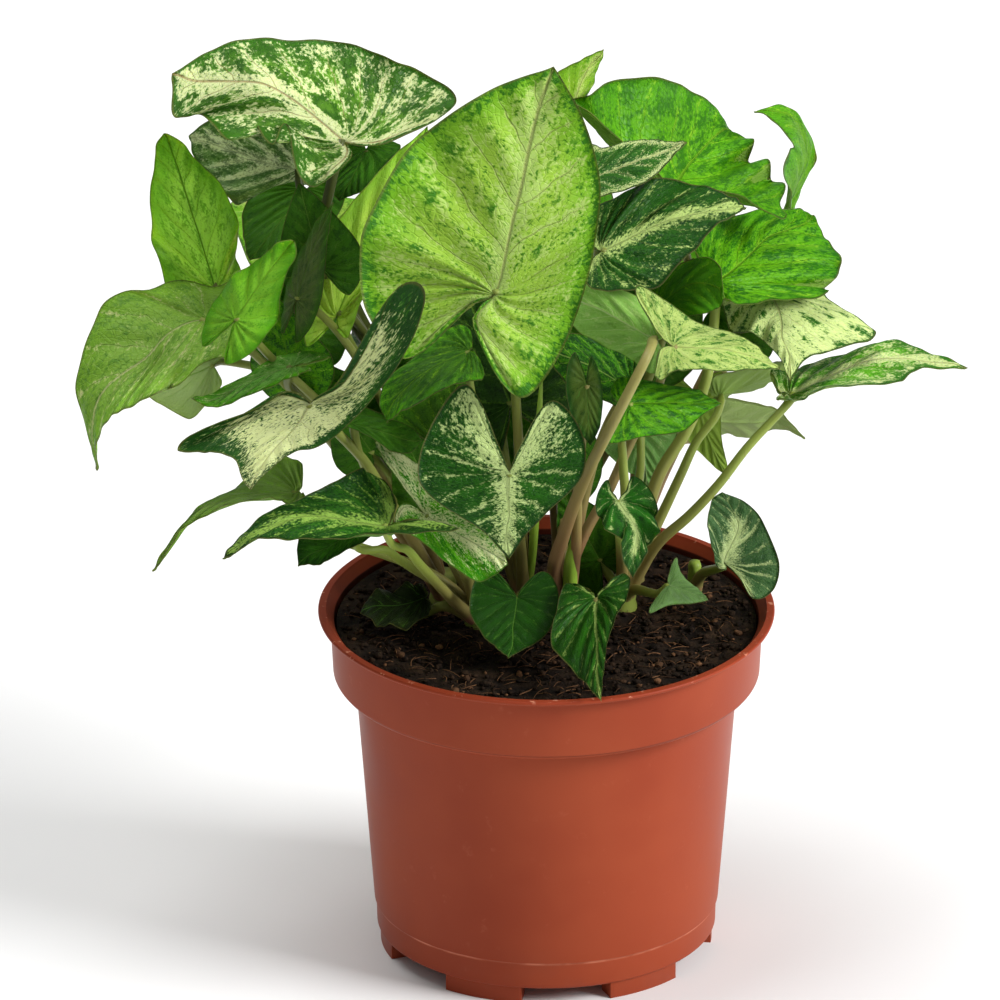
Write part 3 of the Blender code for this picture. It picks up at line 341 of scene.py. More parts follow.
# what each kind of blade looks like; colours are red, green, blue from 0 to 255
sharedLook = {
    "lines": 0.3, "rib": 0.006, "lobe": 0.0, "ribEnd": 2.0, "veins": 0.0, "blocks": 0.2, "edge": 0.02,
    "paleEdge": 0.001, "zone": (0.0, 0.0, 0.0), "through": 0.3, "glow": 0.2,
}
leafLooks = {
    "lime": {
        "tone": "light", "blade": (144, 178, 62), "rim": (104, 160, 28), "deep": (50, 108, 20),
        "pale": (170, 192, 100), "under": (146, 170, 84), "lines": 0.6, "lineColour": (150, 150, 88),
        "underLine": (168, 180, 110), "rib": 0.05, "lobe": 0.4, "veins": 0.3, "patches": 0.36,
        "deepPatches": 0.32, "blocks": 0.38, "specks": 1.0, "rough": 0.44,
    },
    "green": {
        "tone": "bright", "blade": (84, 150, 12), "rim": (72, 140, 10), "deep": (44, 104, 8),
        "pale": (126, 178, 36), "under": (110, 150, 54), "lines": 0.45, "lineColour": (52, 108, 10),
        "underLine": (140, 168, 84), "patches": 0.06, "deepPatches": 0.44, "specks": 0.9, "edge": 0.015,
        "rough": 0.42,
    },
    "dusky": {
        "tone": "dark", "blade": (58, 108, 16), "rim": (50, 100, 12), "deep": (34, 76, 10),
        "pale": (90, 130, 40), "under": (76, 116, 34), "lineColour": (84, 126, 36),
        "underLine": (96, 128, 56), "patches": 0.0, "deepPatches": 0.45, "blocks": 0.1, "specks": 0.8,
        "edge": 0.015, "rough": 0.44, "glow": 0.1,
    },
    "dark": {
        "tone": "dark", "blade": (34, 82, 16), "rim": (26, 70, 12), "deep": (18, 56, 10),
        "pale": (172, 192, 120), "under": (92, 130, 56), "lineColour": (136, 150, 84),
        "underLine": (124, 154, 84), "rib": 0.04, "lobe": 0.5, "veins": 0.1, "patches": 0.06,
        "deepPatches": 0.45, "specks": 1.0, "edge": 0.03, "rough": 0.38, "glow": 0.1,
    },
    "plain": {
        "tone": "dark", "blade": (32, 76, 14), "rim": (28, 70, 12), "deep": (22, 60, 10),
        "pale": (86, 132, 48), "under": (80, 120, 48), "lineColour": (84, 128, 50),
        "underLine": (114, 144, 76), "patches": 0.0, "deepPatches": 0.4, "blocks": 0.1, "specks": 0.5,
        "rough": 0.36, "through": 0.2, "glow": 0.1,
    },
    "marbled": {
        "tone": "cream", "blade": (64, 122, 26), "rim": (50, 104, 20), "deep": (36, 86, 20),
        "pale": (186, 200, 134), "under": (120, 150, 70), "lines": 0.4, "lineColour": (160, 150, 92),
        "underLine": (150, 166, 96), "rib": 0.07, "lobe": 0.5, "veins": 0.3, "patches": 0.36,
        "deepPatches": 0.4, "blocks": 0.4, "specks": 1.1, "edge": 0.03, "rough": 0.42, "through": 0.4,
        "glow": 0.18,
    },
    "back": {
        "tone": "grey", "blade": (72, 124, 24), "rim": (66, 116, 22), "deep": (50, 96, 18),
        "pale": (134, 170, 74), "under": (122, 150, 70), "lines": 0.4, "lineColour": (140, 168, 90),
        "underLine": (150, 172, 102), "rib": 0.012, "veins": 0.05, "patches": 0.1, "deepPatches": 0.3,
        "specks": 0.6, "rough": 0.5, "through": 0.2,
    },
}

# the leaves that the view shows: heart, midrib and tip, then each side from the notch round its lobe to the
# tip; each place as it is seen, with how far in mm it lies behind the pot's axis
leaves = {
    "crest": {
        "look": "marbled", "stem": "back_left", "rib": [(345, 143, 12), (262, 85, 14), (174, 75, 16)],
        "left": [None, (318, 185, -4), (284, 141, 0), (250, 138, 2), (212, 126, 8), (183, 112, 12)],
        "right": [(375, 147, 16), (453, 110, 26), (415, 70, 36), (360, 48, 42), (280, 38, 40),
                  (210, 52, 28)],
        "via": [(390, 470, 16), (308, 345, 8), (298, 290, 6), (314, 240, 6), (335, 185, 9)], "stalk": 1.5,
        "finish": {
            "blade": (94, 142, 38), "veins": 0.55, "rib": 0.085, "patches": 0.5, "blocks": 0.56,
            "deep": (42, 84, 16), "specks": 1.4, "lines": 0.6, "lineColour": (150, 116, 76),
            "pale": (194, 204, 146),
        },
    },
    "face": {
        "look": "lime", "stem": "centre", "rib": [(494, 296, -34), (522, 185, -24), (553, 70, -14)],
        "left": [(471, 308, -35), (406, 360, -36), (367, 312, -30), (364, 243, -25), (410, 148, -18),
                 (492, 92, -14)],
        "right": [(472, 319, -39), (517, 398, -46), (563, 348, -40), (588, 278, -34), (601, 200, -26),
                  (582, 120, -18)],
        "finish": {
            "specks": 1.5, "patches": 0.4, "pale": (160, 188, 98), "blade": (142, 180, 60), "edge": 0.06,
            "rib": 0.06, "lineColour": (138, 142, 84),
        },
    },
    "spire": {
        "look": "lime", "stem": "back", "rib": [(548, 150, 24), (575, 100, 30), (604, 51, 36)],
        "left": [None, (525, 165, 16), None, (532, 112, 20), (556, 76, 26), (580, 60, 32)],
        "right": [None, (560, 175, 26), None, (580, 130, 32), (588, 95, 36), (597, 72, 37)],
        "finish": {"blade": (124, 166, 36), "patches": 0.1, "deepPatches": 0.2, "rim": (110, 160, 30)},
    },
    "sail": {
        "look": "green", "stem": "back_right", "rib": [(672, 190, 30), (697, 155, 47), (737, 142, 62)],
        "left": [(640, 160, 27), (588, 113, 22), (589, 96, 28), (618, 80, 42), (680, 84, 58),
                 (716, 106, 64)],
        "right": [(715, 190, 26), (768, 212, 22), (780, 205, 30), (778, 178, 42), (758, 158, 54),
                  (748, 140, 60)],
        "via": [(638, 520, 34), (652, 470, 38), (684, 360, 42), (690, 260, 38)],
        "finish": {"deepPatches": 0.52},
    },
    "speckle": {
        "look": "marbled", "stem": "back", "rib": [(592, 178, 8), (640, 161, 10), (686, 143, 16)],
        "left": [None, (583, 152, 14), None, (606, 148, 20), (640, 140, 21), (666, 142, 19)],
        "right": [None, (578, 192, -2), None, (606, 197, 0), (645, 184, 4), (669, 162, 10)],
        "finish": {
            "blade": (44, 96, 24), "deep": (24, 66, 16), "patches": 0.1, "veins": 0.05, "rib": 0.02,
            "specks": 1.6, "paleEdge": 0.07,
        },
    },
    "dark_long": {
        "look": "dark", "stem": "back", "rib": [(601, 252, -6), (668, 221, 4), (746, 208, 18)],
        "left": [None, (584, 218, 2), (604, 203, 8), (640, 187, 16), (694, 182, 22), (730, 197, 22)],
        "right": [None, (583, 281, -18), (610, 292, -18), (650, 285, -14), (694, 251, -6), (722, 222, 6)],
        "via": [(575, 470, 16), (596, 380, 14), (604, 300, 6)],
        "finish": {
            "zone": (-90.0, 0.2, 2.5), "patches": 0.28, "rib": 0.06, "specks": 1.2, "pale": (164, 186, 106),
        },
    },
    "broad": {
        "look": "green", "stem": "right", "rib": [(716, 282, 10), (768, 237, 32), (814, 214, 50)],
        "left": [None, (697, 252, 14), (700, 236, 20), (715, 222, 28), (757, 211, 42), (797, 209, 50)],
        "right": [None, (728, 302, 0), (766, 301, 6), (822, 296, 20), (840, 262, 36), (825, 236, 46)],
        "via": [(652, 493, 0), (673, 450, 0), (695, 414, 0), (708, 370, 4), (714, 318, 15)], "stalk": 1.45,
        "finish": {"deepPatches": 0.5, "deep": (34, 98, 6), "blade": (88, 154, 12)},
    },
    "hook": {
        "look": "green", "stem": "back_right", "rib": [(786, 212, 60), (806, 150, 64), (754, 111, 54)],
        "edge": [((0.25, 0.0), (799, 180, 62)), ((0.78, 0.0), (788, 113, 60))],
        "left": [None, None, None, (792, 190, 52), (790, 150, 54), (780, 127, 54)],
        "right": [None, None, None, (803, 180, 70), (812, 145, 72), (785, 107, 64)],
        "via": [(638, 520, 34), (652, 475, 38), (682, 420, 42), (724, 340, 48), (770, 262, 56)],
        "finish": {"blade": (84, 136, 18), "deep": (46, 100, 8), "deepPatches": 0.42},
    },
    "bat": {
        "look": "marbled", "stem": "back_right", "rib": [(771, 294, 22), (781, 338, 6), (789, 382, -8)],
        "left": [None, (812, 286, 32), (834, 304, 31), (876, 331, 24), (836, 349, 10), (803, 361, 0)],
        "right": [None, (728, 288, 28), (722, 305, 26), (733, 331, 16), (762, 341, 8), (780, 360, 0)],
        "via": [(638, 520, 30), (654, 475, 32), (692, 420, 33), (714, 384, 34), (744, 336, 42),
                (757, 316, 42)],
        "gap": 0.75,
        "finish": {
            "patches": 0.68, "pale": (192, 210, 134), "veins": 0.5, "blocks": 0.42, "specks": 1.0,
            "edge": 0.02,
        },
    },
    "far_right": {
        "look": "marbled", "tone": "bright", "stem": "right",
        "rib": [(791, 394, 6), (868, 360, 16), (968, 367, 24)],
        "left": [None, (770, 372, 14), (784, 370, 22), (812, 364, 30), (878, 343, 32), (926, 351, 28)],
        "right": [None, (776, 398, -4), (799, 400, -8), (832, 389, -8), (896, 383, 2), (922, 370, 16)],
        "via": [(646, 561, 3), (659, 542, 0), (700, 505, -4), (736, 462, -4), (771, 417, 0)],
        "finish": {
            "blade": (84, 152, 22), "deep": (36, 98, 12), "patches": 0.46, "veins": 0.0, "specks": 0.9,
            "blocks": 0.32,
        },
    },
    "pale_right": {
        "look": "back", "stem": "back_right", "rib": [(712, 420, 55), (760, 421, 60), (807, 438, 64)],
        "left": [None, (698, 436, 58), None, (726, 434, 63), (752, 437, 66), (780, 428, 65)],
        "right": [None, (698, 400, 52), None, (722, 395, 53), (762, 404, 57), (784, 413, 60)],
        "via": [(638, 520, 32), (652, 475, 38), (684, 440, 46)], "finish": {"under": (140, 162, 96)},
    },
    "under_right": {
        "look": "back", "stem": "right", "rib": [(719, 395, 12), (760, 379, 22), (798, 366, 32)],
        "left": [None, (709, 406, 16), None, (734, 393, 20), (762, 388, 30), (782, 377, 34)],
        "right": [None, (706, 384, 9), None, (728, 374, 8), (763, 364, 16), (784, 362, 24)],
        "via": [(640, 560, 4), (659, 521, 5), (673, 490, 5), (692, 452, 5), (706, 420, 4)],
    },
    "spear": {
        "look": "back", "stem": "back_right", "rib": [(698, 398, 26), (708, 436, 28), (730, 479, 30)],
        "left": [None, (676, 378, 26), None, (672, 420, 26), (694, 447, 28), (714, 466, 30)],
        "right": [None, (716, 372, 26), None, (722, 396, 26), (722, 438, 28), (727, 462, 30)],
        "via": [(638, 520, 26), (654, 472, 26), (680, 425, 18)], "finish": {"under": (140, 170, 66)},
    },
    "elbow": {
        "look": "back", "tone": "bright", "stem": "front",
        "rib": [(655, 340, -19), (602, 310, -14), (548, 290, -14)],
        "left": [None, (670, 321, -14), None, (640, 299, -10), (594, 278, -14), None],
        "right": [None, (660, 367, -14), None, (624, 356, -10), (580, 334, -10), None],
        "via": [(553, 582, -4), (568, 521, -18), (592, 462, -33), (612, 424, -37), (640, 368, -36),
                (651, 349, -30)],
        "stalk": 1.45,
        "finish": {
            "under": (134, 182, 84), "underLine": (180, 204, 138), "pale": (172, 200, 120),
            "deep": (88, 138, 40), "deepPatches": 0.4, "patches": 0.42, "through": 0.7, "lines": 0.8,
            "glow": 0.4,
        },
    },
    "bird": {
        "look": "marbled", "stem": "front", "rib": [(672, 347, -22), (724, 350, -14), (779, 369, -8)],
        "left": [None, (634, 291, -30), (662, 300, -25), (695, 322, -14), (738, 336, -8), (762, 353, -6)],
        "right": [None, (654, 377, -32), (674, 372, -30), (694, 370, -26), (735, 371, -20), (762, 370, -14)],
        "via": [(572, 560, -6), (604, 500, -6), (636, 430, -6), (660, 385, -6)],
        "finish": {
            "patches": 0.6, "pale": (170, 190, 106), "blade": (72, 130, 30), "veins": 0.5, "blocks": 0.42,
            "edge": 0.015, "specks": 0.8,
        },
    },
    "heart_front": {
        "look": "dark", "stem": "centre", "rib": [(509, 472, -48), (509, 516, -53), (509, 559, -58)],
        "left": [(519, 448, -46), (552, 401, -38), (581, 432, -42), (582, 475, -48), (547, 512, -54),
                 (524, 537, -57)],
        "right": [(500, 448, -46), (467, 385, -36), (430, 430, -40), (419, 480, -46), (456, 514, -52),
                  (486, 534, -56)],
        "finish": {
            "blade": (34, 84, 16), "rib": 0.066, "lobe": 2.2, "veins": 0.24, "specks": 1.3, "lines": 0.15,
            "pale": (174, 194, 124),
        },
    },
    "twist": {
        "look": "marbled", "stem": "left", "rib": [(311, 404, -36), (282, 443, -44), (252, 490, -52)],
        "edge": [((-0.32, -0.13), (248, 414, -34))],
        "left": [(334, 388, -40), (399, 289, -50), (420, 326, -54), (374, 399, -50), (318, 448, -47),
                 (283, 460, -48)],
        "right": [(290, 392, -33), (192, 436, -36), (200, 453, -40), (222, 454, -43), (239, 464, -46),
                  (243, 477, -49)],
        "via": [(424, 560, 0), (379, 484, -18), (350, 443, -28)], "stalk": 1.4,
        # finish: the pale colour is brightened as painted light, to lift the shade the leaf lies in
        "finish": {
            "pale": (212, 222, 156), "patches": 0.46, "rib": 0.15, "zone": (-27.0, -0.3, 2.3), "blocks": 0.36,
            "specks": 1.6, "edge": 0.17, "blade": (44, 94, 24), "deep": (28, 70, 18), "through": 1.0,
            "under": (60, 100, 30), "lines": 0.3,
        },
    },
    "left_droop": {
        "look": "green", "stem": "left", "rib": [(205, 320, -4), (146, 360, -14), (98, 471, -30)],
        "left": [(240, 322, -11), (242, 350, -18), (208, 361, -26), (152, 398, -30), (121, 413, -32),
                 (101, 432, -32)],
        "right": [(236, 322, -8), (284, 256, -2), (222, 285, 6), (165, 284, 10), (103, 307, 2),
                  (78, 390, -12)],
        "via": [(405, 540, 6), (330, 440, 0), (262, 360, -6), (225, 334, -8)],
        "finish": {
            "blade": (118, 156, 56), "deep": (84, 126, 40), "pale": (184, 194, 126), "patches": 0.2,
            "zone": (-90.0, 0.3, -1.5), "lines": 0.35, "lineColour": (150, 168, 104), "rim": (112, 156, 44),
        },
    },
    "left_tall": {
        "look": "green", "stem": "left", "rib": [(215, 288, 15), (190, 205, 20), (166, 134, 28)],
        "left": [None, (172, 318, 12), (166, 290, 13), (158, 250, 15), (151, 204, 17), (157, 160, 24)],
        "right": [None, (252, 312, 14), (246, 284, 18), (238, 250, 22), (226, 192, 26), (194, 158, 28)],
        "via": [(400, 500, 22), (300, 380, 26), (240, 310, 24)],
        # finish: colours brightened as painted light, to lift the shade the leaf lies in
        "finish": {
            "blade": (170, 224, 80), "deep": (108, 168, 40), "rim": (128, 190, 46), "deepPatches": 0.46,
            "specks": 1.0, "glow": 0.4,
        },
    },
    "left_under": {
        "look": "back", "stem": "left", "rib": [(212, 366, -4), (176, 378, -10), (137, 373, -13)],
        "left": [None, (223, 384, -5), (206, 406, -6), (190, 419, -7), (160, 404, -10), (143, 390, -12)],
        "right": [None, (222, 357, -3), None, (198, 356, -4), (176, 353, -7), (152, 360, -11)],
        "via": [(400, 520, 4), (330, 430, 2), (268, 364, 6), (232, 362, 8)], "gap": 0.6,
        # finish: colours brightened as painted light, to lift the shade the leaf lies in
        "finish": {
            "blade": (160, 184, 116), "deep": (126, 154, 84), "rim": (156, 182, 104),
            "under": (160, 184, 116), "lines": 0.6, "glow": 0.3,
        },
    },
    "left_sliver": {
        "look": "green", "stem": "left", "rib": [(292, 368, -18), (244, 385, -22), (193, 398, -26)],
        "left": [None, (312, 370, -24), None, (280, 384, -26), (238, 401, -28), (212, 409, -28)],
        "right": [None, (330, 358, -16), None, (278, 357, -14), (244, 377, -19), (212, 394, -23)],
        "via": [(400, 520, 6), (325, 425, 4), (290, 388, -2)],
        "finish": {"blade": (96, 146, 60), "pale": (180, 196, 130), "zone": (-90.0, 0.1, 2.0)},
    },
    "curl": {
        "look": "green", "stem": "left", "rib": [(284, 346, 6), (290, 312, 8), (314, 264, 12)],
        "left": [None, (262, 352, 0), None, (259, 334, 2), (274, 298, 6), (296, 274, 10)],
        "right": [None, (302, 356, 8), None, (302, 330, 12), (304, 302, 14), (316, 276, 14)],
        # finish: colours brightened as painted light, to lift the shadow of the leaves above
        "finish": {"blade": (108, 176, 26), "deep": (40, 96, 16), "deepPatches": 0.5, "glow": 0.4},
    },
    "left_tail": {
        "look": "green", "stem": "front_left", "rib": [(295, 492, -14), (214, 504, -22), (153, 571, -30)],
        "left": [None, (309, 503, -20), (288, 503, -25), (262, 499, -27), (214, 511, -28), (180, 537, -30)],
        "right": [None, (303, 464, -4), (284, 459, -2), (262, 469, -4), (222, 494, -14), (182, 526, -26)],
        "finish": {
            "blade": (118, 148, 72), "deep": (90, 122, 50), "rim": (112, 146, 60), "deepPatches": 0.36,
            "lines": 0.6, "lineColour": (164, 178, 126), "glow": 0.3,
        },
    },
    "long_left": {
        "look": "dark", "tone": "bright", "stem": "front_left",
        "rib": [(388, 525, -48), (306, 516, -52), (224, 558, -62)],
        "left": [(404, 520, -54), (459, 527, -66), (415, 533, -68), (354, 537, -64), (296, 539, -64),
                 (256, 543, -64)],
        "right": [(396, 508, -40), (384, 480, -27), (360, 470, -31), (331, 484, -38), (286, 503, -46),
                  (244, 533, -56)],
        "via": [(455, 602, -10), (425, 570, -26), (402, 545, -40)],
        "finish": {
            "blade": (40, 90, 16), "pale": (134, 168, 72), "rib": 0.07, "lobe": 1.0, "specks": 1.2,
            "deepPatches": 0.5,
        },
    },
    "hanging": {
        "look": "plain", "stem": "front_left", "rib": [(355, 533, -30), (328, 548, -38), (299, 565, -46)],
        "left": [None, None, None, (348, 550, -38), (326, 561, -44), None],
        "right": [None, None, None, (335, 520, -28), (303, 530, -34), (298, 548, -40)],
        "via": [(436, 582, -8), (410, 567, -14), (380, 548, -24)], "finish": {"blade": (52, 104, 20)},
    },
    "patchwork": {
        "look": "green", "stem": "front_left", "rib": [(424, 513, -38), (466, 538, -46), (508, 564, -53)],
        "left": [(406, 490, -38), (375, 443, -32), (416, 462, -34), (468, 492, -40), (500, 524, -46), None],
        "right": [None, (396, 521, -44), (408, 532, -48), (430, 548, -50), (477, 581, -54), (498, 573, -54)],
        "finish": {
            "blade": (106, 190, 26), "deep": (40, 128, 10), "pale": (216, 226, 164),
            "zone": (90.0, 0.02, 3.6), "patches": 0.42, "rib": 0.1, "specks": 1.3, "deepPatches": 0.5,
            "through": 1.0, "under": (106, 190, 26),
        },
    },
    "low_heart": {
        "look": "plain", "stem": "centre", "rib": [(517, 597, -18), (513, 627, -27), (508, 657, -38)],
        "left": [(521, 588, -17), (543, 571, -14), (557, 587, -16), (558, 606, -21), (548, 632, -30),
                 (528, 647, -34)],
        "right": [(512, 588, -17), (489, 567, -14), (473, 584, -16), (470, 612, -22), (484, 636, -31),
                  (497, 648, -35)],
        "finish": {"lines": 0.12},
    },
    "arrow": {
        "look": "plain", "stem": "front", "rib": [(596, 598, -23), (597, 645, -42), (600, 699, -65)],
        "left": [(602, 588, -21), (624, 573, -16), (628, 592, -22), (618, 613, -30), (607, 641, -41),
                 (603, 672, -54)],
        "right": [(590, 590, -21), (568, 583, -18), (556, 612, -27), (551, 643, -38), (576, 674, -51),
                  (589, 687, -59)],
        "finish": {
            "blade": (36, 88, 14), "rib": 0.02, "pale": (160, 188, 96), "paleEdge": 0.006,
            "deepPatches": 0.45, "specks": 0.6, "lineColour": (150, 180, 100),
        },
    },
    "small_heart": {
        "look": "dark", "stem": "right", "rib": [(618, 501, -44), (636, 534, -51), (632, 577, -60)],
        "left": [(624, 492, -42), (632, 476, -40), (649, 489, -42), (658, 515, -47), (651, 543, -54),
                 (641, 562, -57)],
        "right": [(612, 492, -42), (606, 480, -40), (595, 502, -44), (601, 523, -49), (618, 539, -54),
                  (622, 560, -57)],
        "finish": {
            "blade": (34, 96, 16), "rib": 0.06, "veins": 0.0, "patches": 0.02, "lobe": -0.5, "specks": 0.6,
            "ribEnd": 0.7, "lines": 0.1,
        },
    },
    "oval": {
        "look": "dark", "stem": "small_right", "rib": [(724, 562, 0), (738, 525, 6), (722, 492, 10)],
        "left": [None, (718, 568, -2), (714, 553, 0), (709, 535, 3), (708, 514, 7), (712, 499, 9)],
        "right": [(736, 574, -3), (752, 598, -8), (773, 590, -6), (779, 562, -1), (762, 520, 6),
                  (742, 500, 9)],
        "finish": {
            "blade": (62, 96, 54), "deep": (42, 76, 38), "rim": (74, 108, 64), "rib": 0.1, "veins": 0.4,
            "patches": 0.16, "lobe": 0.3, "paleEdge": 0.012, "ribEnd": 0.55, "specks": 0.7,
            "pale": (182, 200, 136),
        },
    },
    "triangle": {
        "look": "plain", "tone": "grey", "stem": "right",
        "rib": [(669, 585, -16), (688, 592, -14), (708, 600, -12)],
        "left": [None, (672, 563, -10), None, (680, 572, -9), (694, 586, -10), None],
        "right": [None, (650, 606, -24), None, (666, 606, -21), (688, 604, -17), None],
        "finish": {
            "blade": (86, 118, 62), "deep": (66, 98, 46), "lines": 0.7, "lineColour": (146, 170, 116),
            "rim": (94, 128, 70),
        },
    },
    # on_soil: its near-black colours are painted shade, for a leaf lying in the shadow of the stalks on the
    # soil
    "on_soil": {
        "look": "plain", "stem": "front_left", "rib": [(424, 598, 0), (392, 606, -6), (360, 613, -8)],
        "left": [None, (431, 604, -6), None, (414, 623, -14), (387, 628, -17), (370, 618, -12)],
        "right": [None, (424, 588, -3), None, (414, 585, 1), (392, 588, 1), (371, 596, -3)],
        "via": [(456, 610, -3), (442, 606, -4)],
        "finish": {"blade": (34, 50, 18), "deep": (22, 34, 12), "rim": (40, 54, 20), "deepPatches": 0.5},
    },
    "stripe": {
        "look": "marbled", "tone": "grey", "stem": "back_left",
        "rib": [(300, 168, 22), (242, 152, 22), (190, 136, 26)],
        "left": [None, (316, 148, 16), None, (288, 132, 14), (236, 122, 16), (206, 124, 20)],
        "right": [None, (312, 184, 28), (285, 185, 32), (238, 199, 34), (213, 182, 32), (194, 156, 28)],
        # finish: the pale and under colours are brightened as painted light, to lift the shade the leaf lies in
        "finish": {
            "veins": 0.75, "rib": 0.05, "patches": 0.4, "pale": (210, 222, 168), "under": (112, 150, 78),
            "deep": (24, 66, 16), "deepPatches": 0.52, "specks": 0.7, "through": 1.0, "lines": 0.2,
            "glow": 0.3,
        },
    },
    "inner_dark": {
        "stem": "back_left", "rib": [(305, 190, 44), (280, 222, 36), (250, 260, 24)],
        "left": [None, (340, 178, 46), (344, 202, 44), (330, 224, 38), (294, 248, 32), (266, 258, 27)],
        "right": [None, (275, 174, 44), (256, 187, 42), (243, 212, 35), (243, 236, 31), (246, 250, 27)],
        "finish": {"deepPatches": 0.4},
    },
    "band": {
        "look": "green", "stem": "centre", "rib": [(338, 316, -3), (376, 225, 6), (428, 128, 12)],
        "left": [None, (308, 347, -10), (312, 306, -5), (322, 265, 0), (354, 202, 6), (398, 154, 10)],
        "right": [None, (348, 338, -8), (364, 297, -3), (396, 262, 2), (425, 195, 8), (432, 155, 11)],
        # finish: colours brightened as painted light, to lift the shade of the face leaf
        "finish": {
            "blade": (190, 230, 88), "deep": (140, 190, 56), "rim": (150, 204, 64), "deepPatches": 0.4,
            "lines": 0.3, "glow": 0.4,
        },
    },
    "tucked": {
        "stem": "back_left", "rib": [(366, 150, 30), (354, 176, 22), (340, 202, 16)],
        "left": [None, (392, 142, 34), None, (388, 163, 26), (364, 192, 18), None],
        "right": [None, (345, 138, 32), None, (330, 176, 24), (326, 192, 18), None],
        "finish": {"blade": (60, 116, 22)},
    },
    "arch": {
        "look": "green", "tone": "dark", "stem": "centre",
        "rib": [(468, 352, -16), (418, 378, -25), (387, 423, -33)],
        "left": [None, (484, 372, -22), None, (452, 386, -28), (412, 408, -34), (395, 418, -35)],
        "right": [None, (470, 330, -8), None, (420, 352, -12), (386, 382, -22), (380, 404, -28)],
        "finish": {"blade": (62, 110, 20), "deep": (36, 82, 12), "deepPatches": 0.5},
    },
    "dark_end": {
        "stem": "left", "rib": [(352, 424, -29), (388, 434, -33), (423, 441, -34)],
        "left": [None, None, None, (366, 416, -27), (396, 421, -31), (415, 430, -33)],
        "right": [None, None, None, (366, 434, -33), (390, 450, -37), (411, 453, -37)],
    },
    "olive": {
        "look": "plain", "tone": "grey", "stem": "front",
        "rib": [(586, 384, -24), (588, 416, -26), (590, 446, -27)],
        "left": [None, None, None, (602, 400, -24), (600, 425, -26), None],
        "right": [None, None, None, (566, 392, -26), (573, 425, -28), None],
        "via": [(575, 560, -8), (578, 480, -18), (584, 420, -20)], "finish": {"blade": (76, 100, 34)},
    },
    "lattice": {
        "look": "green", "tone": "dark", "stem": "front",
        "rib": [(630, 389, 0), (590, 366, -4), (546, 348, -8)],
        "left": [None, (640, 402, -2), None, (612, 404, -10), (572, 388, -14), (554, 368, -12)],
        "right": [None, (646, 362, 3), None, (620, 344, 5), (578, 334, 1), (555, 338, -4)],
        "finish": {
            "blade": (72, 140, 24), "deep": (22, 70, 14), "deepPatches": 0.56, "specks": 1.2, "lines": 0.6,
            "lineColour": (160, 180, 110),
        },
    },
    "dart": {
        "look": "green", "stem": "right", "rib": [(628, 404, -22), (675, 403, -15), (721, 404, -8)],
        "left": [None, (610, 392, -20), None, (640, 380, -14), (690, 389, -8), (708, 397, -8)],
        "right": [None, (600, 436, -30), None, (640, 438, -27), (682, 432, -21), (704, 414, -13)],
        "via": [(625, 560, 2), (625, 500, -8), (622, 450, -14)],
        "finish": {"deepPatches": 0.5, "deep": (28, 84, 12), "specks": 0.6},
    },
    "glow": {
        "look": "back", "tone": "bright", "stem": "right",
        "rib": [(640, 430, 14), (644, 458, 19), (647, 488, 24)],
        "left": [None, (616, 424, 12), None, (604, 450, 16), (628, 472, 21), None],
        "right": [None, (664, 420, 14), None, (674, 442, 18), (662, 468, 22), None],
        "finish": {
            "under": (116, 166, 84), "pale": (172, 196, 124), "underLine": (178, 200, 138), "patches": 0.4,
            "through": 0.8, "lines": 0.8,
        },
    },
    "loop": {
        "look": "green", "stem": "back", "rib": [(658, 306, 6), (692, 284, 0), (723, 300, -4)],
        "left": [None, (646, 290, 8), None, (664, 272, 7), (700, 258, 0), (720, 270, -4)],
        "right": [None, (654, 322, 2), None, (682, 318, -2), (706, 314, -4), (719, 308, -3)],
        "via": [(590, 480, 22), (640, 400, 18), (660, 340, 14)], "finish": {"blade": (66, 126, 14)},
    },
}

# the leaves behind: heart in mm, the midrib's heading and pitch and the blade's roll in degrees, then
# length, width and droop in mm
rearLeaves = {
    "rear_high": {
        "look": "green", "stem": "back", "place": (-8, 62, 186), "heading": 84, "pitch": 12, "roll": 6,
        "size": (50, 52, 16),
    },
    "rear_left_high": {
        "look": "lime", "tone": "bright", "stem": "back_left", "place": (-54, 70, 168), "heading": 128,
        "pitch": 8, "roll": -8, "size": (48, 46, 15),
    },
    "rear_right_high": {
        "look": "green", "stem": "back_right", "place": (26, 72, 168), "heading": 60, "pitch": 6, "roll": 8,
        "size": (46, 46, 16), "via": [(636, 520, 38), (648, 470, 46)],
    },
    "rear_mid": {
        "look": "dark", "stem": "back", "place": (2, 70, 146), "heading": 92, "pitch": -4, "roll": -6,
        "size": (46, 40, 14),
    },
    "rear_left_mid": {
        "look": "dark", "stem": "back_left", "place": (-30, 78, 136), "heading": 112, "pitch": -6, "roll": 6,
        "size": (44, 42, 14),
    },
    "rear_right_mid": {
        "look": "dark", "stem": "back_right", "place": (36, 80, 138), "heading": 54, "pitch": -8, "roll": -8,
        "size": (40, 38, 12), "via": [(638, 520, 40), (654, 465, 50)],
    },
}

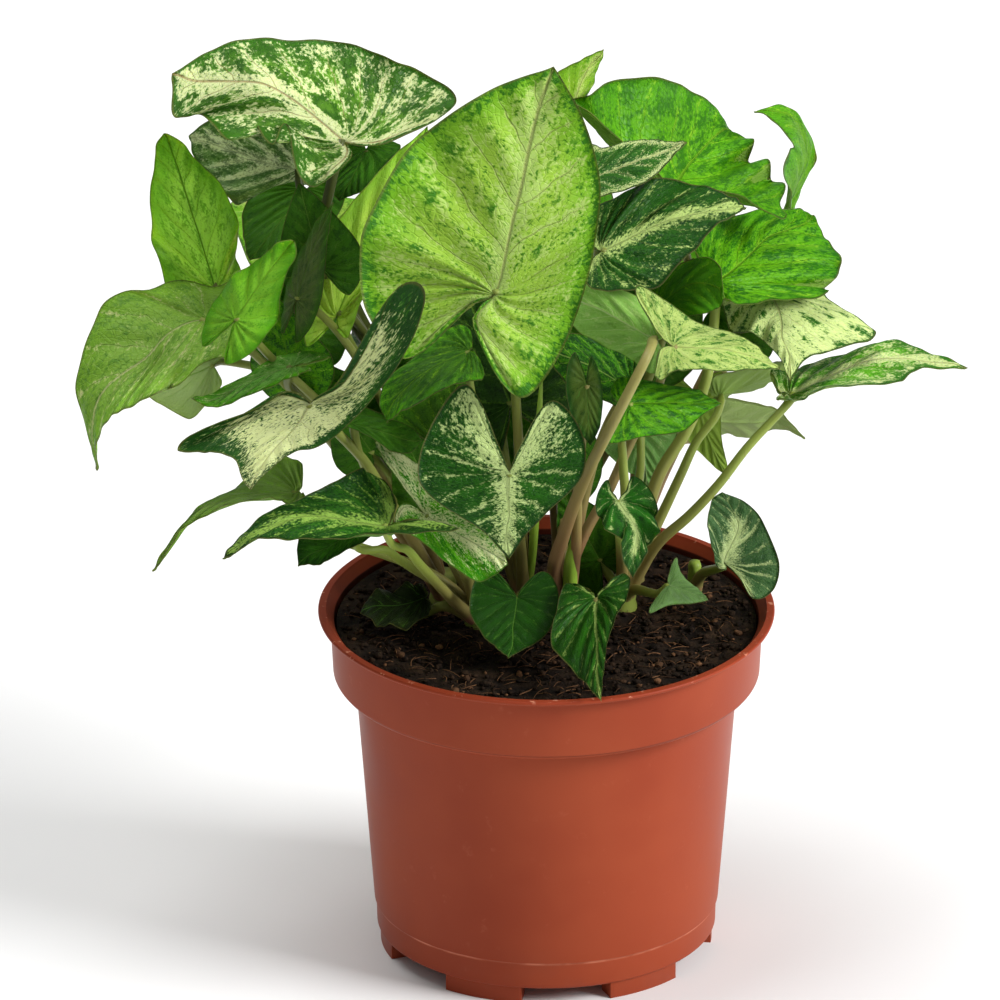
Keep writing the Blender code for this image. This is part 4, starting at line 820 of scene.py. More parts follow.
# small leaves deep in the plant, between the others: heart and tip as seen, width in mm
innerLeaves = {
    "inner_notch": {
        "stem": "centre", "heart": (510, 404, 2), "tip": (462, 284, 2), "width": 42, "roll": 0.1,
        "finish": {"blade": (36, 72, 12), "deep": (20, 48, 8), "rim": (32, 66, 10)},
    },
    "inner_gap": {"stem": "centre", "heart": (526, 482, 22), "tip": (516, 396, 22), "width": 24, "roll": 0.1},
    "inner_cover": {
        "stem": "back_left", "heart": (322, 268, -7), "tip": (300, 184, -3), "width": 22, "roll": -0.1,
    },
    "inner_slim": {
        "stem": "left", "heart": (298, 300, -15), "tip": (334, 204, -14), "width": 11, "roll": -0.5,
        "finish": {"blade": (84, 104, 52), "deep": (56, 84, 34)},
    },
    "inner_stand": {
        "look": "green", "tone": "dark", "stem": "left", "heart": (292, 372, -6), "tip": (276, 296, -4),
        "width": 22, "roll": -0.3, "finish": {"deepPatches": 0.5, "deep": (30, 80, 14)},
    },
    "inner_arch": {
        "look": "green", "tone": "dark", "stem": "front_left", "heart": (432, 438, -6), "tip": (466, 366, -4),
        "width": 24, "roll": 0.3, "finish": {"blade": (66, 112, 20), "deep": (40, 84, 14)},
    },
    "inner_bright": {
        "look": "green", "tone": "dark", "stem": "left", "heart": (237, 321, -27), "tip": (295, 242, -20),
        "width": 17, "roll": -0.3, "finish": {"blade": (116, 176, 40), "deep": (78, 142, 22), "lines": 0.3},
    },
    "inner_side": {
        "stem": "front_left", "heart": (372, 452, -4), "tip": (334, 396, -6), "width": 20, "roll": -0.3,
    },
    "inner_left": {
        "stem": "centre", "heart": (436, 398, 12), "tip": (392, 306, 20), "width": 26, "roll": -0.2,
    },
    "inner_low_left": {
        "stem": "left", "heart": (352, 420, 5), "tip": (306, 356, 3), "width": 20, "roll": -0.3,
    },
    "inner_middle": {
        "stem": "front", "heart": (566, 470, 9), "tip": (556, 384, 14), "width": 21, "roll": 0.2,
    },
    "inner_right": {
        "stem": "back_right", "heart": (648, 344, 24), "tip": (694, 258, 32), "width": 28, "roll": 0.3,
    },
    "inner_high": {"stem": "back", "heart": (604, 356, 18), "tip": (612, 262, 28), "width": 30, "roll": 0.0},
    "inner_patch": {
        "stem": "front_left", "heart": (438, 500, -12), "tip": (398, 424, -16), "width": 22, "roll": -0.3,
    },
    "inner_dusk": {
        "stem": "back_left", "heart": (306, 330, 26), "tip": (282, 236, 37), "width": 24, "roll": 0.2,
    },
    "inner_far": {
        "stem": "back_right", "heart": (738, 338, 36), "tip": (772, 284, 42), "width": 20, "roll": 0.4,
    },
    "inner_bed": {"stem": "right", "heart": (600, 560, 8), "tip": (560, 486, 10), "width": 20, "roll": -0.2},
}

# a flat leaf one unit long from its heart to its tip: the named places of its left side
flatLeaf = {
    "sinus": (-0.17, 0.05), "lobe": (-0.42, 0.20), "hip": (-0.20, 0.40),
    "wide": (0.12, 0.44), "flank": (0.50, 0.30), "neck": (0.80, 0.14),
}
flatWidth = 0.88
ribPlaces = [(0.0, 0.0), (0.5, 0.0), (1.0, 0.0)]
sidePlaces = [(u, sign * v) for sign in (1, -1) for u, v in flatLeaf.values()]

# how every blade is meshed and modelled
bladeForm = {
    "lobeSteps": 14,
    "fanSteps": 18,
    "midSteps": 44,
    "rows": 14,
    "rowEase": 1.25,
    "lobeRib": (-0.35, 0.165),
    "fanFrom": 2.9,
    "fanTo": 4.5,
    "lobeVeins": 2,
    "fanVeins": 3,
    "midVeins": 5,
    "thickness": 0.42 * mm,
    "edgeThickness": 0.2 * mm,
    "ribDepth": 0.75 * mm,
    "ribWidth": 0.016,
    "ribFullAt": 60 * mm,
    "crease": (0.03, 0.006),
    "quilt": 0.010,
    "edgeWave": 0.014,
    "billow": 0.020,
    "ease": 2e-4,
}


def warpMap(pairs):
    flat = np.array([pair[0] for pair in pairs])
    space = np.array([pair[1][:] for pair in pairs])
    count = len(pairs)

    def kernel(points):
        gap = np.linalg.norm(points[:, None, :] - flat[None, :, :], axis=2)
        return gap**2 * np.log(gap + 1e-9)

    system = np.zeros((count + 3, count + 3))
    system[:count, :count] = kernel(flat) + bladeForm["ease"] * np.eye(count)
    system[:count, count:] = np.column_stack([np.ones(count), flat])
    system[count:, :count] = system[:count, count:].T
    weights = np.linalg.solve(system, np.vstack([space, np.zeros((3, 3))]))

    def apply(points):
        points = np.asarray(points, float)
        return np.column_stack([kernel(points), np.ones(len(points)), points]) @ weights

    return apply


def frontPairs(leaf):
    places = list(zip(ribPlaces, leaf["rib"])) + leaf.get("edge", [])
    places += zip(sidePlaces, leaf["left"] + leaf["right"])
    return [(flat, seen(*place)) for flat, place in places if place]


def rearPairs(leaf):
    heading, pitch, roll = (math.radians(leaf[key]) for key in ("heading", "pitch", "roll"))
    length, width, droop = (part * mm for part in leaf["size"])
    level = math.cos(pitch)
    ahead = Vector((math.cos(heading) * level, math.sin(heading) * level, math.sin(pitch)))
    left = Vector((-math.sin(heading), math.cos(heading), 0.0))
    up = ahead.cross(left)
    left, up = left * math.cos(roll) + up * math.sin(roll), up * math.cos(roll) - left * math.sin(roll)
    heart = onPot(*(part * mm for part in leaf["place"]))
    pairs = []
    for u, v in ribPlaces + sidePlaces:
        sag = droop * (u * abs(u) * 0.8 + 1.3 * v * v)
        pairs.append(((u, v), heart + ahead * (length * u) + left * (width * v / flatWidth) - up * sag))
    return pairs


def leafSeat(placeOn):
    heart, ahead, left, right = (Vector(point) for point in
                                 placeOn([(0.02, 0.0), (0.22, 0.0), (0.05, 0.12), (0.05, -0.12)]))
    along = (ahead - heart).normalized()
    return heart, along.cross(left - right).normalized()


# rows run from the rib to the margin as the side veins do: round each lobe, in a fan from the heart and
# then from the midrib; each has its place on the margin and its phase, which is whole on a side vein
def sheetRays():
    form = bladeForm
    lobeRib, heart = Vector(form["lobeRib"]), Vector((0.0, 0.0))
    lobe, fan = form["lobeVeins"], form["fanVeins"]
    shares = [[i / form[key] for i in range(1, form[key] + 1)]
              for key in ("lobeSteps", "fanSteps", "midSteps")]
    rays = [(lobeRib * share, 2.0 * share, -8.0 + lobe * share) for share in [0.0] + shares[0]]
    rays += [(lobeRib * (1.0 - share), 2.0 + (form["fanFrom"] - 2.0) * share, -lobe + lobe * share)
             for share in shares[0]]
    rays += [(heart, form["fanFrom"] + (form["fanTo"] - form["fanFrom"]) * share, fan * share)
             for share in shares[1]]
    rays += [(Vector((share, 0.0)), form["fanTo"] + (7.0 - form["fanTo"]) * share**0.92,
              fan + form["midVeins"] * share) for share in shares[2]]
    return rays


# a ring of corners without those that repeat, or nothing where too few are left
def ringOf(corners):
    ring = [corner for k, corner in enumerate(corners) if corner != corners[k - 1]]
    return ring if len(set(ring)) > 2 else None


def flatSheet():
    rows = bladeForm["rows"]
    spots, index, faces, margins = [], {}, [], []
    knots = [Vector(flat) for flat in [(0.0, 0.0)] + list(flatLeaf.values()) + [(1.0, 0.0)]]
    for sign in (1, -1):
        grid = []
        for rib, place, phase in sheetRays():
            edge = easedCurve(knots, place)
            reach = (edge - rib).length
            row = []
            for j in range(rows + 1):
                out = (j / rows) ** bladeForm["rowEase"]
                bow = 0.10 * reach * out * (1.0 - out)
                point = rib + (edge - rib) * out + Vector((-bow if rib.y == 0.0 else 0.0, 0.0))
                key = (round(point.x, 5), round(point.y * sign, 5))
                if key not in index:
                    index[key] = len(spots)
                    toRib = min(reach * out, abs(point.y) if point.x > 0 else 9.0)
                    spots.append((point.x, point.y * sign, sign, phase, out, toRib, reach * (1.0 - out), place))
                row.append(index[key])
            grid.append(row)
        for first, second in zip(grid, grid[1:]):
            for j in range(rows):
                ring = ringOf([first[j], second[j], second[j + 1], first[j + 1]])
                if ring:
                    turned = sum(spots[a][0] * spots[b][1] - spots[b][0] * spots[a][1]
                                 for a, b in zip(ring, ring[1:] + ring[:1]))
                    faces.append(ring if turned > 0 else ring[::-1])
        margins.append([row[-1] for row in grid])
    return np.array(spots), faces, margins[0] + margins[1][-2:0:-1]


sheetSpots, sheetFaces, sheetLoop = flatSheet()


def bladeMesh(name, pairs, seed, folds):
    form = bladeForm
    placeOn = warpMap(pairs)
    flats = sheetSpots[:, :2]
    step = 0.03
    ahead = placeOn(flats + [step, 0.0]) - placeOn(flats - [step, 0.0])
    left = placeOn(flats + [0.0, step]) - placeOn(flats - [0.0, step])
    normals = np.cross(ahead, left)
    normals /= np.linalg.norm(normals, axis=1)[:, None]
    length = (Vector(pairs[2][1]) - Vector(pairs[0][1])).length
    side, phase, out, fromRib, fromEdge, place = sheetSpots[:, 2:].T
    shift = random.Random(seed).uniform(0.0, 6.28)
    quilt = -np.cos(phase * math.tau) * 4.0 * out * (1.0 - out) * form["quilt"]
    billow = np.array([noise.noise(Vector((u * 3.2, v * 3.2, shift))) for u, v in flats])
    billow = billow * form["billow"] * np.clip(fromRib * 5.0, 0.0, 1.0)
    crease = -np.exp(-(fromRib / form["crease"][0]) ** 2) * form["crease"][1]
    wave = (np.sin(place * 5.3 + side * 1.7 + shift) + 0.6 * np.sin(place * 11.9 + shift * 2.0 + side))
    wave = wave * out**3 * form["edgeWave"] * 0.5
    middle = placeOn(flats) + normals * ((quilt + crease + wave + billow) * length)[:, None]
    for sign, centre, width, push in folds:
        share = np.exp(-((place - centre) / width) ** 2) * (side == sign) * np.clip(out, 0.0, 1.0) ** 2.2
        middle = middle + share[:, None] * np.array(seenStep(*push))
    half = form["edgeThickness"] / 2.0
    half = half + (form["thickness"] / 2.0 - half) * np.clip(fromEdge / 0.02, 0.0, 1.0)
    fade = np.clip(1.0 - np.abs(flats[:, 0]), 0.0, 1.0) ** 0.6 * min(1.0, length / form["ribFullAt"])
    rib = form["ribDepth"] * np.exp(-(fromRib / form["ribWidth"]) ** 2) * fade
    upper = middle + normals * half[:, None]
    lower = middle - normals * (half + rib)[:, None]
    count = len(sheetSpots)
    faces = sheetFaces + [[corner + count for corner in ring[::-1]] for ring in sheetFaces]
    for first, second in zip(sheetLoop, sheetLoop[1:] + sheetLoop[:1]):
        faces.append([first + count, second + count, second, first])
    mesh = meshFrom(name, np.vstack([upper, lower]), faces)
    store(mesh, "leafPlace", np.tile(np.column_stack([flats, side]), (2, 1)))
    store(mesh, "leafVeins", np.tile(np.column_stack([phase, out, fromRib]), (2, 1)))
    under = np.concatenate([np.zeros(count), np.ones(count)])
    store(mesh, "leafRim", np.column_stack([np.tile(fromEdge, 2), under, np.zeros(2 * count)]))
    return mesh


# what all blades share: how the outline, the tone, the light through the blade and the surface are mixed
bladeSkin = {
    "outline": (96, 92, 50),
    "outlineShare": 0.55,
    "tones": (0.84, 1.14),
    "roughSpread": (-0.05, 0.1),
    "underRougher": 0.12,
    "grainShare": 0.12,
    "bump": (0.8, 0.5 * mm),
    "glowRadius": (0.8, 1.0, 0.25),
    "glowScale": 1.6 * mm,
    "specular": 0.1,
}


def leafMaterial(name, look, seed):
    skin = bladeSkin
    material, tree, shader = newMaterial(name)
    marks = useGroup(tree, leafGroup, {
        "Place": stored(tree, "leafPlace"), "Veins": stored(tree, "leafVeins"), "Rim": stored(tree, "leafRim"),
        "Zone Turn": look["zone"][0], "Zone Start": look["zone"][1], "Zone Pull": look["zone"][2],
        "Seed": seed * 3.7, **{label: look[key] for label, key in leafDials.items()},
    })
    upper = blend(marks["Inner"], look["rim"], look["blade"])
    upper = blend(marks["Deep"], upper, look["deep"])
    upper = blend(marks["Pale"], upper, look["pale"])
    lines = marks["Vein Line"] * look["lines"]
    upper = blend(lines, upper, look["lineColour"])
    tone = ramp(marks["Tone"], 0.3, 0.7, *skin["tones"], "LINEAR")
    upper = made(tree, "ShaderNodeHueSaturation", "Color", {"Color": upper, "Value": tone})
    lower = blend(marks["Pale"] * look["through"], look["under"], look["pale"])
    lower = blend(marks["Deep"] * (look["through"] * 0.7), lower, look["deep"])
    lower = blend(lines, lower, look["underLine"])
    under = spread(stored(tree, "leafRim"))[1]
    grain = useGroup(tree, grainGroup, {"Place": objectPlace(tree), "Grain Scale": 1500.0, "Cloud Scale": 60.0})
    rough = ramp(grain["Cloud"], 0.3, 0.7, *(look["rough"] + part for part in skin["roughSpread"]), "LINEAR")
    colour = blend(under, upper, lower)
    feed(shader, {
        "Base Color": blend(marks["Outline"] * skin["outlineShare"], colour, skin["outline"]),
        "Roughness": rough + under * skin["underRougher"],
        "Normal": bumped(marks["Height"] + grain["Grain"] * skin["grainShare"], *skin["bump"]),
        "Subsurface Weight": look["glow"],
        "Subsurface Radius": skin["glowRadius"],
        "Subsurface Scale": skin["glowScale"],
        "Specular IOR Level": skin["specular"],
    })
    return material

def innerPairs(leaf):
    heart, tip = seen(*leaf["heart"]), seen(*leaf["tip"])
    ahead = tip - heart
    length = ahead.length
    ahead.normalize()
    up = Vector((math.sin(leaf["roll"]), -0.8, 0.6))
    up = (up - ahead * up.dot(ahead)).normalized()
    left = up.cross(ahead)
    pairs = []
    for u, v in ribPlaces + sidePlaces:
        sag = length * (0.16 * u * (1.0 - u) - 0.5 * v * v)
        aside = leaf["width"] * mm * v / flatWidth
        pairs.append(((u, v), heart + ahead * (length * u) + left * aside + up * sag))
    return pairs


# folds and flaps of a margin: side, place between the named ones, width, and the push across, down, toward
marginFolds = {
    "crest": [(1, 3.0, 0.26, (2, -16, -7)), (1, 3.5, 0.24, (6, 12, 7)), (1, 3.98, 0.22, (4, -12, -6)),
              (1, 2.4, 0.35, (2, 6, 7)), (1, 4.6, 0.3, (0, 8, 5)), (1, 5.3, 0.3, (0, -6, -4)),
              (1, 6.2, 0.35, (-6, 12, 2)), (-1, 3.4, 0.3, (0, 3, 5)), (-1, 4.4, 0.3, (0, -2, -4))],
    "sail": [(-1, 5.7, 0.3, (5, -5, 4)), (-1, 5.15, 0.24, (-7, 7, -5)), (-1, 4.65, 0.24, (5, -5, 4)),
             (-1, 4.1, 0.24, (-5, 6, -5)), (-1, 3.6, 0.3, (5, -2, 3)), (1, 4.6, 0.3, (0, -4, 3)),
             (1, 2.6, 0.25, (-3, 2, -4))],
    "broad": [(-1, 4.4, 0.12, (-10, 4, -4)), (-1, 5.2, 0.3, (4, 0, 4))],
    "hook": [(1, 4.5, 0.35, (-8, 4, 3)), (1, 5.5, 0.3, (4, 8, 0)), (-1, 4.5, 0.5, (6, 0, 3)),
             (-1, 5.6, 0.4, (2, -4, 2))],
    "left_tall": [(1, 4.2, 0.3, (-4, 0, 5)), (-1, 4.5, 0.2, (5, 0, -4)), (-1, 3.8, 0.2, (-4, 0, 4)),
                  (1, 6.5, 0.4, (-4, -1, 2)), (-1, 6.55, 0.4, (5, -1, 2))],
    "inner_bright": [(1, 6.4, 0.5, (-5, -3, 2)), (-1, 6.4, 0.5, (5, 4, 2)), (-1, 4.4, 0.3, (4, 3, -4)),
                     (1, 4.6, 0.3, (-3, -2, 4))],
    "on_soil": [(1, 4.3, 0.2, (0, 5, 2)), (1, 4.9, 0.2, (0, -5, 2)), (1, 5.6, 0.2, (0, 4, 2)),
                (-1, 4.4, 0.2, (0, -5, 2)), (-1, 5.0, 0.2, (0, 5, 2)), (-1, 5.7, 0.2, (0, -4, 2))],
    "stripe": [(-1, 4.0, 0.2, (0, 6, 3)), (-1, 3.4, 0.2, (0, -4, -3)), (-1, 4.6, 0.2, (-4, -4, -3))],
    "small_heart": [(1, 4.6, 0.15, (5, 0, 3)), (1, 4.1, 0.15, (-4, 0, -3)), (1, 5.2, 0.15, (-4, 0, -2)),
                    (-1, 4.4, 0.15, (-4, 0, 3)), (-1, 5.0, 0.15, (4, 0, -3)), (-1, 3.8, 0.15, (3, 0, -3))],
    "left_droop": [(-1, 3.6, 0.3, (0, -5, -4)), (-1, 4.3, 0.25, (0, 6, 4)), (1, 3.6, 0.25, (0, 5, -4))],
    "band": [(-1, 4.4, 0.25, (6, 4, 4)), (-1, 5.2, 0.25, (-4, -4, -3)), (1, 4.5, 0.3, (-4, -4, 4))],
    "dark_long": [(1, 4.4, 0.3, (0, -5, 4)), (1, 5.1, 0.25, (0, 4, -4)), (-1, 4.2, 0.3, (2, 5, 4))],
    "face": [(-1, 4.6, 0.4, (-3, 0, -4)), (1, 5.2, 0.3, (2, 0, -4)), (1, 4.1, 0.3, (-3, 0, 4))],
    "bat": [(1, 4.4, 0.25, (0, 4, 4)), (-1, 4.6, 0.25, (0, -4, 4)), (-1, 3.9, 0.2, (0, 4, -4))],
}

bladeTally = 0
seats = {}
everyLeaf = {**leaves, **rearLeaves, **innerLeaves}
for number, (name, leaf) in enumerate(everyLeaf.items()):
    pairsOf = frontPairs if name in leaves else rearPairs if name in rearLeaves else innerPairs
    pairs = pairsOf(leaf)
    look = {**sharedLook, **leafLooks[leaf.get("look", "dusky")], **leaf.get("finish", {})}
    mesh = bladeMesh(name + "_blade", pairs, number, marginFolds.get(name, []))
    addPiece(name + "_blade", mesh, leafMaterial("leafSkin_" + name, look, number),
             None if name in innerLeaves else "leaf_" + name, "leaf_" + leaf.get("tone", look["tone"]))
    seats[name] = leafSeat(warpMap(pairs))
    bladeTally += len(mesh.polygons)
print("blades:", len(seats), "with", bladeTally, "faces")


stalkForm = {
    "radius": 1.2,
    "footShare": 1.35,
    "topShare": 0.85,
    "rootShare": 1.1,
    "endShare": 0.7,
    "sides": 14,
    "rings": 44,
    "arrival": 5.0 * mm,
    "soilHeight": 90.6 * mm,
    "stemDepth": 14.0 * mm,
    "stemHeight": 9.0 * mm,
    "stemRadius": 2.0 * mm,
    "stemGrowth": 0.45 * mm,
    "stemTaper": 0.72,
    "stemRings": 19,
    "stemNodes": (13, 16),
    "youngRings": 30,
    "youngSwell": [0.7, 0.8, 0.95, 1.0, 0.9, 0.6, 0.12],
}

# where each stem stands, mm from the pot's axis, how brown its stalks are and, below, how much painted shade
# their stalks get
stems = {
    "left": ((-27, 12), 0.45), "front_left": ((-18, -3), 0.3), "centre": ((-6, 8), 0.35),
    "front": ((5, -1), 0.75), "right": ((20, 8), 0.35), "back": ((4, 22), 0.5),
    "back_left": ((-16, 25), 0.5), "back_right": ((22, 26), 0.8), "small_right": ((39, 18), 0.2),
}
# painted shade: below 0 a stalk deep in the plant is darkened, most at -1; per stem, then per leaf's stalk
stemPaintedShade = {"back_left": -0.7, "back": -0.4, "centre": -0.4, "left": -0.25, "front_left": -0.2,
             "small_right": -0.1}
stalkPaintedShade = {"crest": -0.85, "stripe": -0.9, "left_tall": -0.5, "curl": -0.8, "band": -0.4,
              "left_sliver": -0.6, "oval": -0.3, "face": -0.2, "long_left": 0.1}

youngLeaves = {
    "front": {"route": [(569, 606, -4), (571, 560, -8), (576, 530, -10)], "radius": 2.0},
    "centre": {"route": [(532, 560, 4), (538, 440, -8), (542, 366, -12)], "radius": 1.3},
}


def evenRoute(knots, count):
    knots = [Vector(knot) for knot in knots]
    dense = []
    for i in range(len(knots) - 1):
        before = knots[i - 1] if i else knots[i] * 2 - knots[i + 1]
        after = knots[i + 2] if i + 2 < len(knots) else knots[i + 1] * 2 - knots[i]
        start, end = knots[i], knots[i + 1]
        slopes = (end - before) * 0.5, (after - start) * 0.5
        dense += [hermite(start, end, *slopes, step / 12) for step in range(12)]
    dense.append(knots[-1])
    reach = [0.0]
    for first, second in zip(dense, dense[1:]):
        reach.append(reach[-1] + (second - first).length)
    wanted = np.linspace(0.0, reach[-1], count)
    axes = [np.interp(wanted, reach, [point[axis] for point in dense]) for axis in range(3)]
    return [Vector(point) for point in zip(*axes)]


def stemFoot(stem, above):
    return onPot(stem[0] * mm, stem[1] * mm, stalkForm["soilHeight"] + above * mm)


def stalkRoute(leaf, seat, stem):
    heart, up = seat
    rise = Vector((0.0, 0.0, 1.0))
    arrive = (up + rise * 0.6).normalized()
    if arrive.dot(up) < 0.5:
        arrive = (arrive + up).normalized()
    end = heart - up * (0.35 + leaf.get("gap", 0.3)) * mm
    foot = stemFoot(stem, 1.0)
    if "via" in leaf:
        knots = [foot] + [seen(*place) for place in leaf["via"]] + [end - arrive * stalkForm["arrival"], end]
        coarse = 8
    else:
        span = (end - foot).length
        first = foot + (rise + (end - foot).normalized() * 0.6).normalized() * span * 0.4
        second = end - arrive * span * 0.28
        knots = []
        for step in range(6):
            share = step / 5
            rest = 1.0 - share
            knots.append(foot * rest**3 + first * (3 * rest**2 * share) + second * (3 * rest * share**2)
                         + end * share**3)
        coarse = 7
    points = evenRoute(evenRoute(knots, coarse), stalkForm["rings"])
    points[-1] = heart + up * 0.05 * mm
    return points


# a shell of rings with the same number of corners, closed at both ends
def tubeFaces(base, rings, sides):
    faces = []
    for i in range(rings - 1):
        for k in range(sides):
            a, b = base + i * sides + k, base + i * sides + (k + 1) % sides
            faces.append([a, b, b + sides, a + sides])
    last = base + (rings - 1) * sides
    return faces + [[base + k for k in range(sides)][::-1], [last + k for k in range(sides)]]


# a round shoot along its points; each row of extra says how far up, how brown and what tint it has,
# from -1 for painted shade on a stalk in the dark of the plant to 1 for a young leaf's colour
def shoot(points, radii, browning, youngOrPaintedShade, into):
    spots, faces, extra = into
    sides = stalkForm["sides"]
    base = len(spots)
    across = None
    for i, (point, radius) in enumerate(zip(points, radii)):
        ahead = (points[min(i + 1, len(points) - 1)] - points[max(i - 1, 0)]).normalized()
        if across is None:
            across = ahead.orthogonal().normalized()
        across = (across - ahead * across.dot(ahead)).normalized()
        other = ahead.cross(across)
        share = i / (len(points) - 1)
        for k in range(sides):
            turn = math.tau * k / sides
            groove = 1.0 - 0.16 * math.exp(-((turn - math.pi) / 0.5) ** 2) * min(1.0, share * 3.0)
            ridge = 1.0 + 0.02 * math.cos(turn * 5.0)
            spots.append(point + (across * math.cos(turn) + other * math.sin(turn)) * radius * groove * ridge)
            extra.append((share, browning, youngOrPaintedShade))
    faces += tubeFaces(base, len(points), sides)


# green stalks and brown ones, each from foot to top, and what lies over them, with painted shade for stalks
# deep in the plant
stalkSkin = {
    "greens": ((138, 138, 74), (124, 156, 52)),
    "browns": ((134, 88, 70), (142, 124, 80)),
    "foot": (176, 128, 100),
    "paintedShade": (40, 54, 18),
    "young": (140, 176, 60),
    "fibre": (110, 92, 60),
    "fibreScale": (1800.0, 1800.0, 90.0),
    "rough": (0.36, 0.52),
    "bump": (0.35, 0.15 * mm),
}


def stalkMaterial():
    skin = stalkSkin
    material, tree, shader = newMaterial("stalkSkin")
    share, browning, youngOrPaintedShade = spread(stored(tree, "stalkPlace"))
    place = objectPlace(tree)
    grain = useGroup(tree, grainGroup, {"Place": place, "Grain Scale": 700.0, "Cloud Scale": 90.0})
    mottled = share + (grain["Cloud"] - 0.5) * 0.35
    green = blend(ramp(mottled, 0.1, 0.7), *skin["greens"])
    brown = blend(ramp(mottled, 0.15, 0.8), *skin["browns"])
    colour = blend(browning, green, brown)
    colour = blend(ramp(mottled, 0.12, 0.0), colour, skin["foot"])
    # painted shade: stalks deep in the plant are darkened toward a dark green
    colour = blend(ramp(youngOrPaintedShade, 0.0, -1.0, 0.0, 0.85), colour, skin["paintedShade"])
    colour = blend(ramp(youngOrPaintedShade, 0.4, 0.6), colour, skin["young"])
    fibre = cloud(stretched(place, skin["fibreScale"]), 1.0, 2.0, 0.5)
    feed(shader, {
        "Base Color": blend(ramp(fibre, 0.55, 0.8, 0.0, 0.3), colour, skin["fibre"]),
        "Roughness": ramp(grain["Cloud"], 0.3, 0.7, *skin["rough"], "LINEAR"),
        "Normal": bumped(fibre, *skin["bump"]),
        "Specular IOR Level": 0.25,
        "Subsurface Weight": 0.15,
        "Subsurface Radius": (0.9, 0.8, 0.3),
        "Subsurface Scale": 1.5 * mm,
    })
    return material


def stemRings(place, count):
    form = stalkForm
    radius = form["stemRadius"] + form["stemGrowth"] * min(count, 6)
    low = form["soilHeight"] - form["stemDepth"] + 0.3 * mm
    height = form["stemDepth"] - 0.3 * mm + form["stemHeight"]
    points, radii = [], []
    for i in range(form["stemRings"]):
        share = i / (form["stemRings"] - 1)
        points.append(onPot(place[0] * mm, place[1] * mm, low + height * share))
        ring = 0.93 if i in form["stemNodes"] else 1.0
        radii.append(radius * (1.0 - (1.0 - form["stemTaper"]) * share) * ring)
    radii[-1] *= 0.8
    return points, radii


def stalkRadii(size, count):
    form = stalkForm
    radii = []
    for i in range(count):
        share = i / (count - 1)
        swell = 0.28 * math.exp(-((share - 0.03) / 0.1) ** 2) + 0.12 * math.exp(-((share - 0.97) / 0.03) ** 2)
        radii.append(size * (form["footShare"] + (form["topShare"] - form["footShare"]) * share + swell))
    radii[0] = size * form["rootShare"]
    radii[-1] = size * form["endShare"]
    return radii


stalkMade = stalkMaterial()
for name, (place, browning) in stems.items():
    own = {key: leaf for key, leaf in everyLeaf.items() if leaf["stem"] == name}
    parts = ([], [], [])
    shoot(*stemRings(place, sum(key not in innerLeaves for key in own)), browning, 0.0, parts)
    for key, leaf in own.items():
        points = stalkRoute(leaf, seats[key], place)
        radii = stalkRadii(leaf.get("stalk", stalkForm["radius"]) * mm, len(points))
        shoot(points, radii, browning, stalkPaintedShade.get(key, stemPaintedShade.get(name, 0.0)), parts)
    if name in youngLeaves:
        count, size = stalkForm["youngRings"], youngLeaves[name]["radius"] * mm
        route = [stemFoot(place, 2.0)] + [seen(*knot) for knot in youngLeaves[name]["route"]]
        swell = np.interp(np.linspace(0, 1, count), np.linspace(0, 1, 7), stalkForm["youngSwell"])
        shoot(evenRoute(route, count), [size * float(part) for part in swell], 0.0, 1.0, parts)
    mesh = meshFrom(name + "_shoots", parts[0], parts[1])
    store(mesh, "stalkPlace", parts[2])
    addPiece(name + "_shoots", mesh, stalkMade, "stalks_" + name, "leaf_stalk")
print("stalks:", len(stems))


# the pot in mm: the wall's outer and inner outline as radius and height, its feet and drain holes
potForm = {
    "wall": 1.1,
    "collar": ((75.9, 56.0), (94.3, 56.8)),
    "body": ((12.2, 45.2), (75.9, 50.2)),
    "skirt": 44.5,
    "floorZ": 4.5,
    "outside": [(57.9, 94.3), (59.7, 94.3), (60.0, 93.9), (59.8, 93.3), (57.5, 93.0), (56.8, 92.0),
                (56.0, 77.1), (55.0, 75.9), (51.0, 75.6), (50.2, 74.7), (45.2, 12.2), (44.7, 11.85),
                (44.5, 5.1), (43.9, 4.5), (0.0, 4.5)],
    "inside": [(0.0, 5.6), (42.6, 5.6), (43.8, 12.2), (49.1, 76.7), (54.0, 77.0), (54.9, 77.9), (55.7, 91.7),
               (57.9, 94.3)],
    "rounding": (0.45, 0.35),
    "steps": 216,
    "feet": {"count": 6, "first": -23.0, "width": 28.5, "radii": (37.6, 43.6), "top": 4.9, "steps": 16},
    "drain": {"radius": 4.0, "ring": 27.0, "depth": 8.0, "sides": 40},
}


def turnedMesh(profile, steps):
    points, faces, index = [], [], {}
    for i, (radius, z) in enumerate(profile):
        for k in range(steps):
            key = (i, k if radius > 1e-6 else 0)
            if key not in index:
                index[key] = len(points)
                points.append(roundPot(radius, math.tau * k / steps, z))
            index[(i, k)] = index[key]
    for i in range(len(profile) - 1):
        for k in range(steps):
            ring = ringOf([index[corner] for corner in
                           ((i, k), (i + 1, k), (i + 1, (k + 1) % steps), (i, (k + 1) % steps))])
            if ring:
                faces.append(ring)
    return points, faces


# rounds the corners of an open profile in mm with short arcs and gives it in metres
def rounded(profile, radius):
    profile = [Vector(corner) * mm for corner in profile]
    result = [tuple(profile[0])]
    for before, corner, after in zip(profile, profile[1:], profile[2:]):
        reach = min(radius * mm, (corner - before).length * 0.45, (after - corner).length * 0.45)
        start = corner + (before - corner).normalized() * reach
        end = corner + (after - corner).normalized() * reach
        for share in (0.0, 1 / 3, 2 / 3, 1.0):
            result.append(tuple(start * (1 - share) ** 2 + corner * 2 * share * (1 - share) + end * share**2))
    return result + [tuple(profile[-1])]


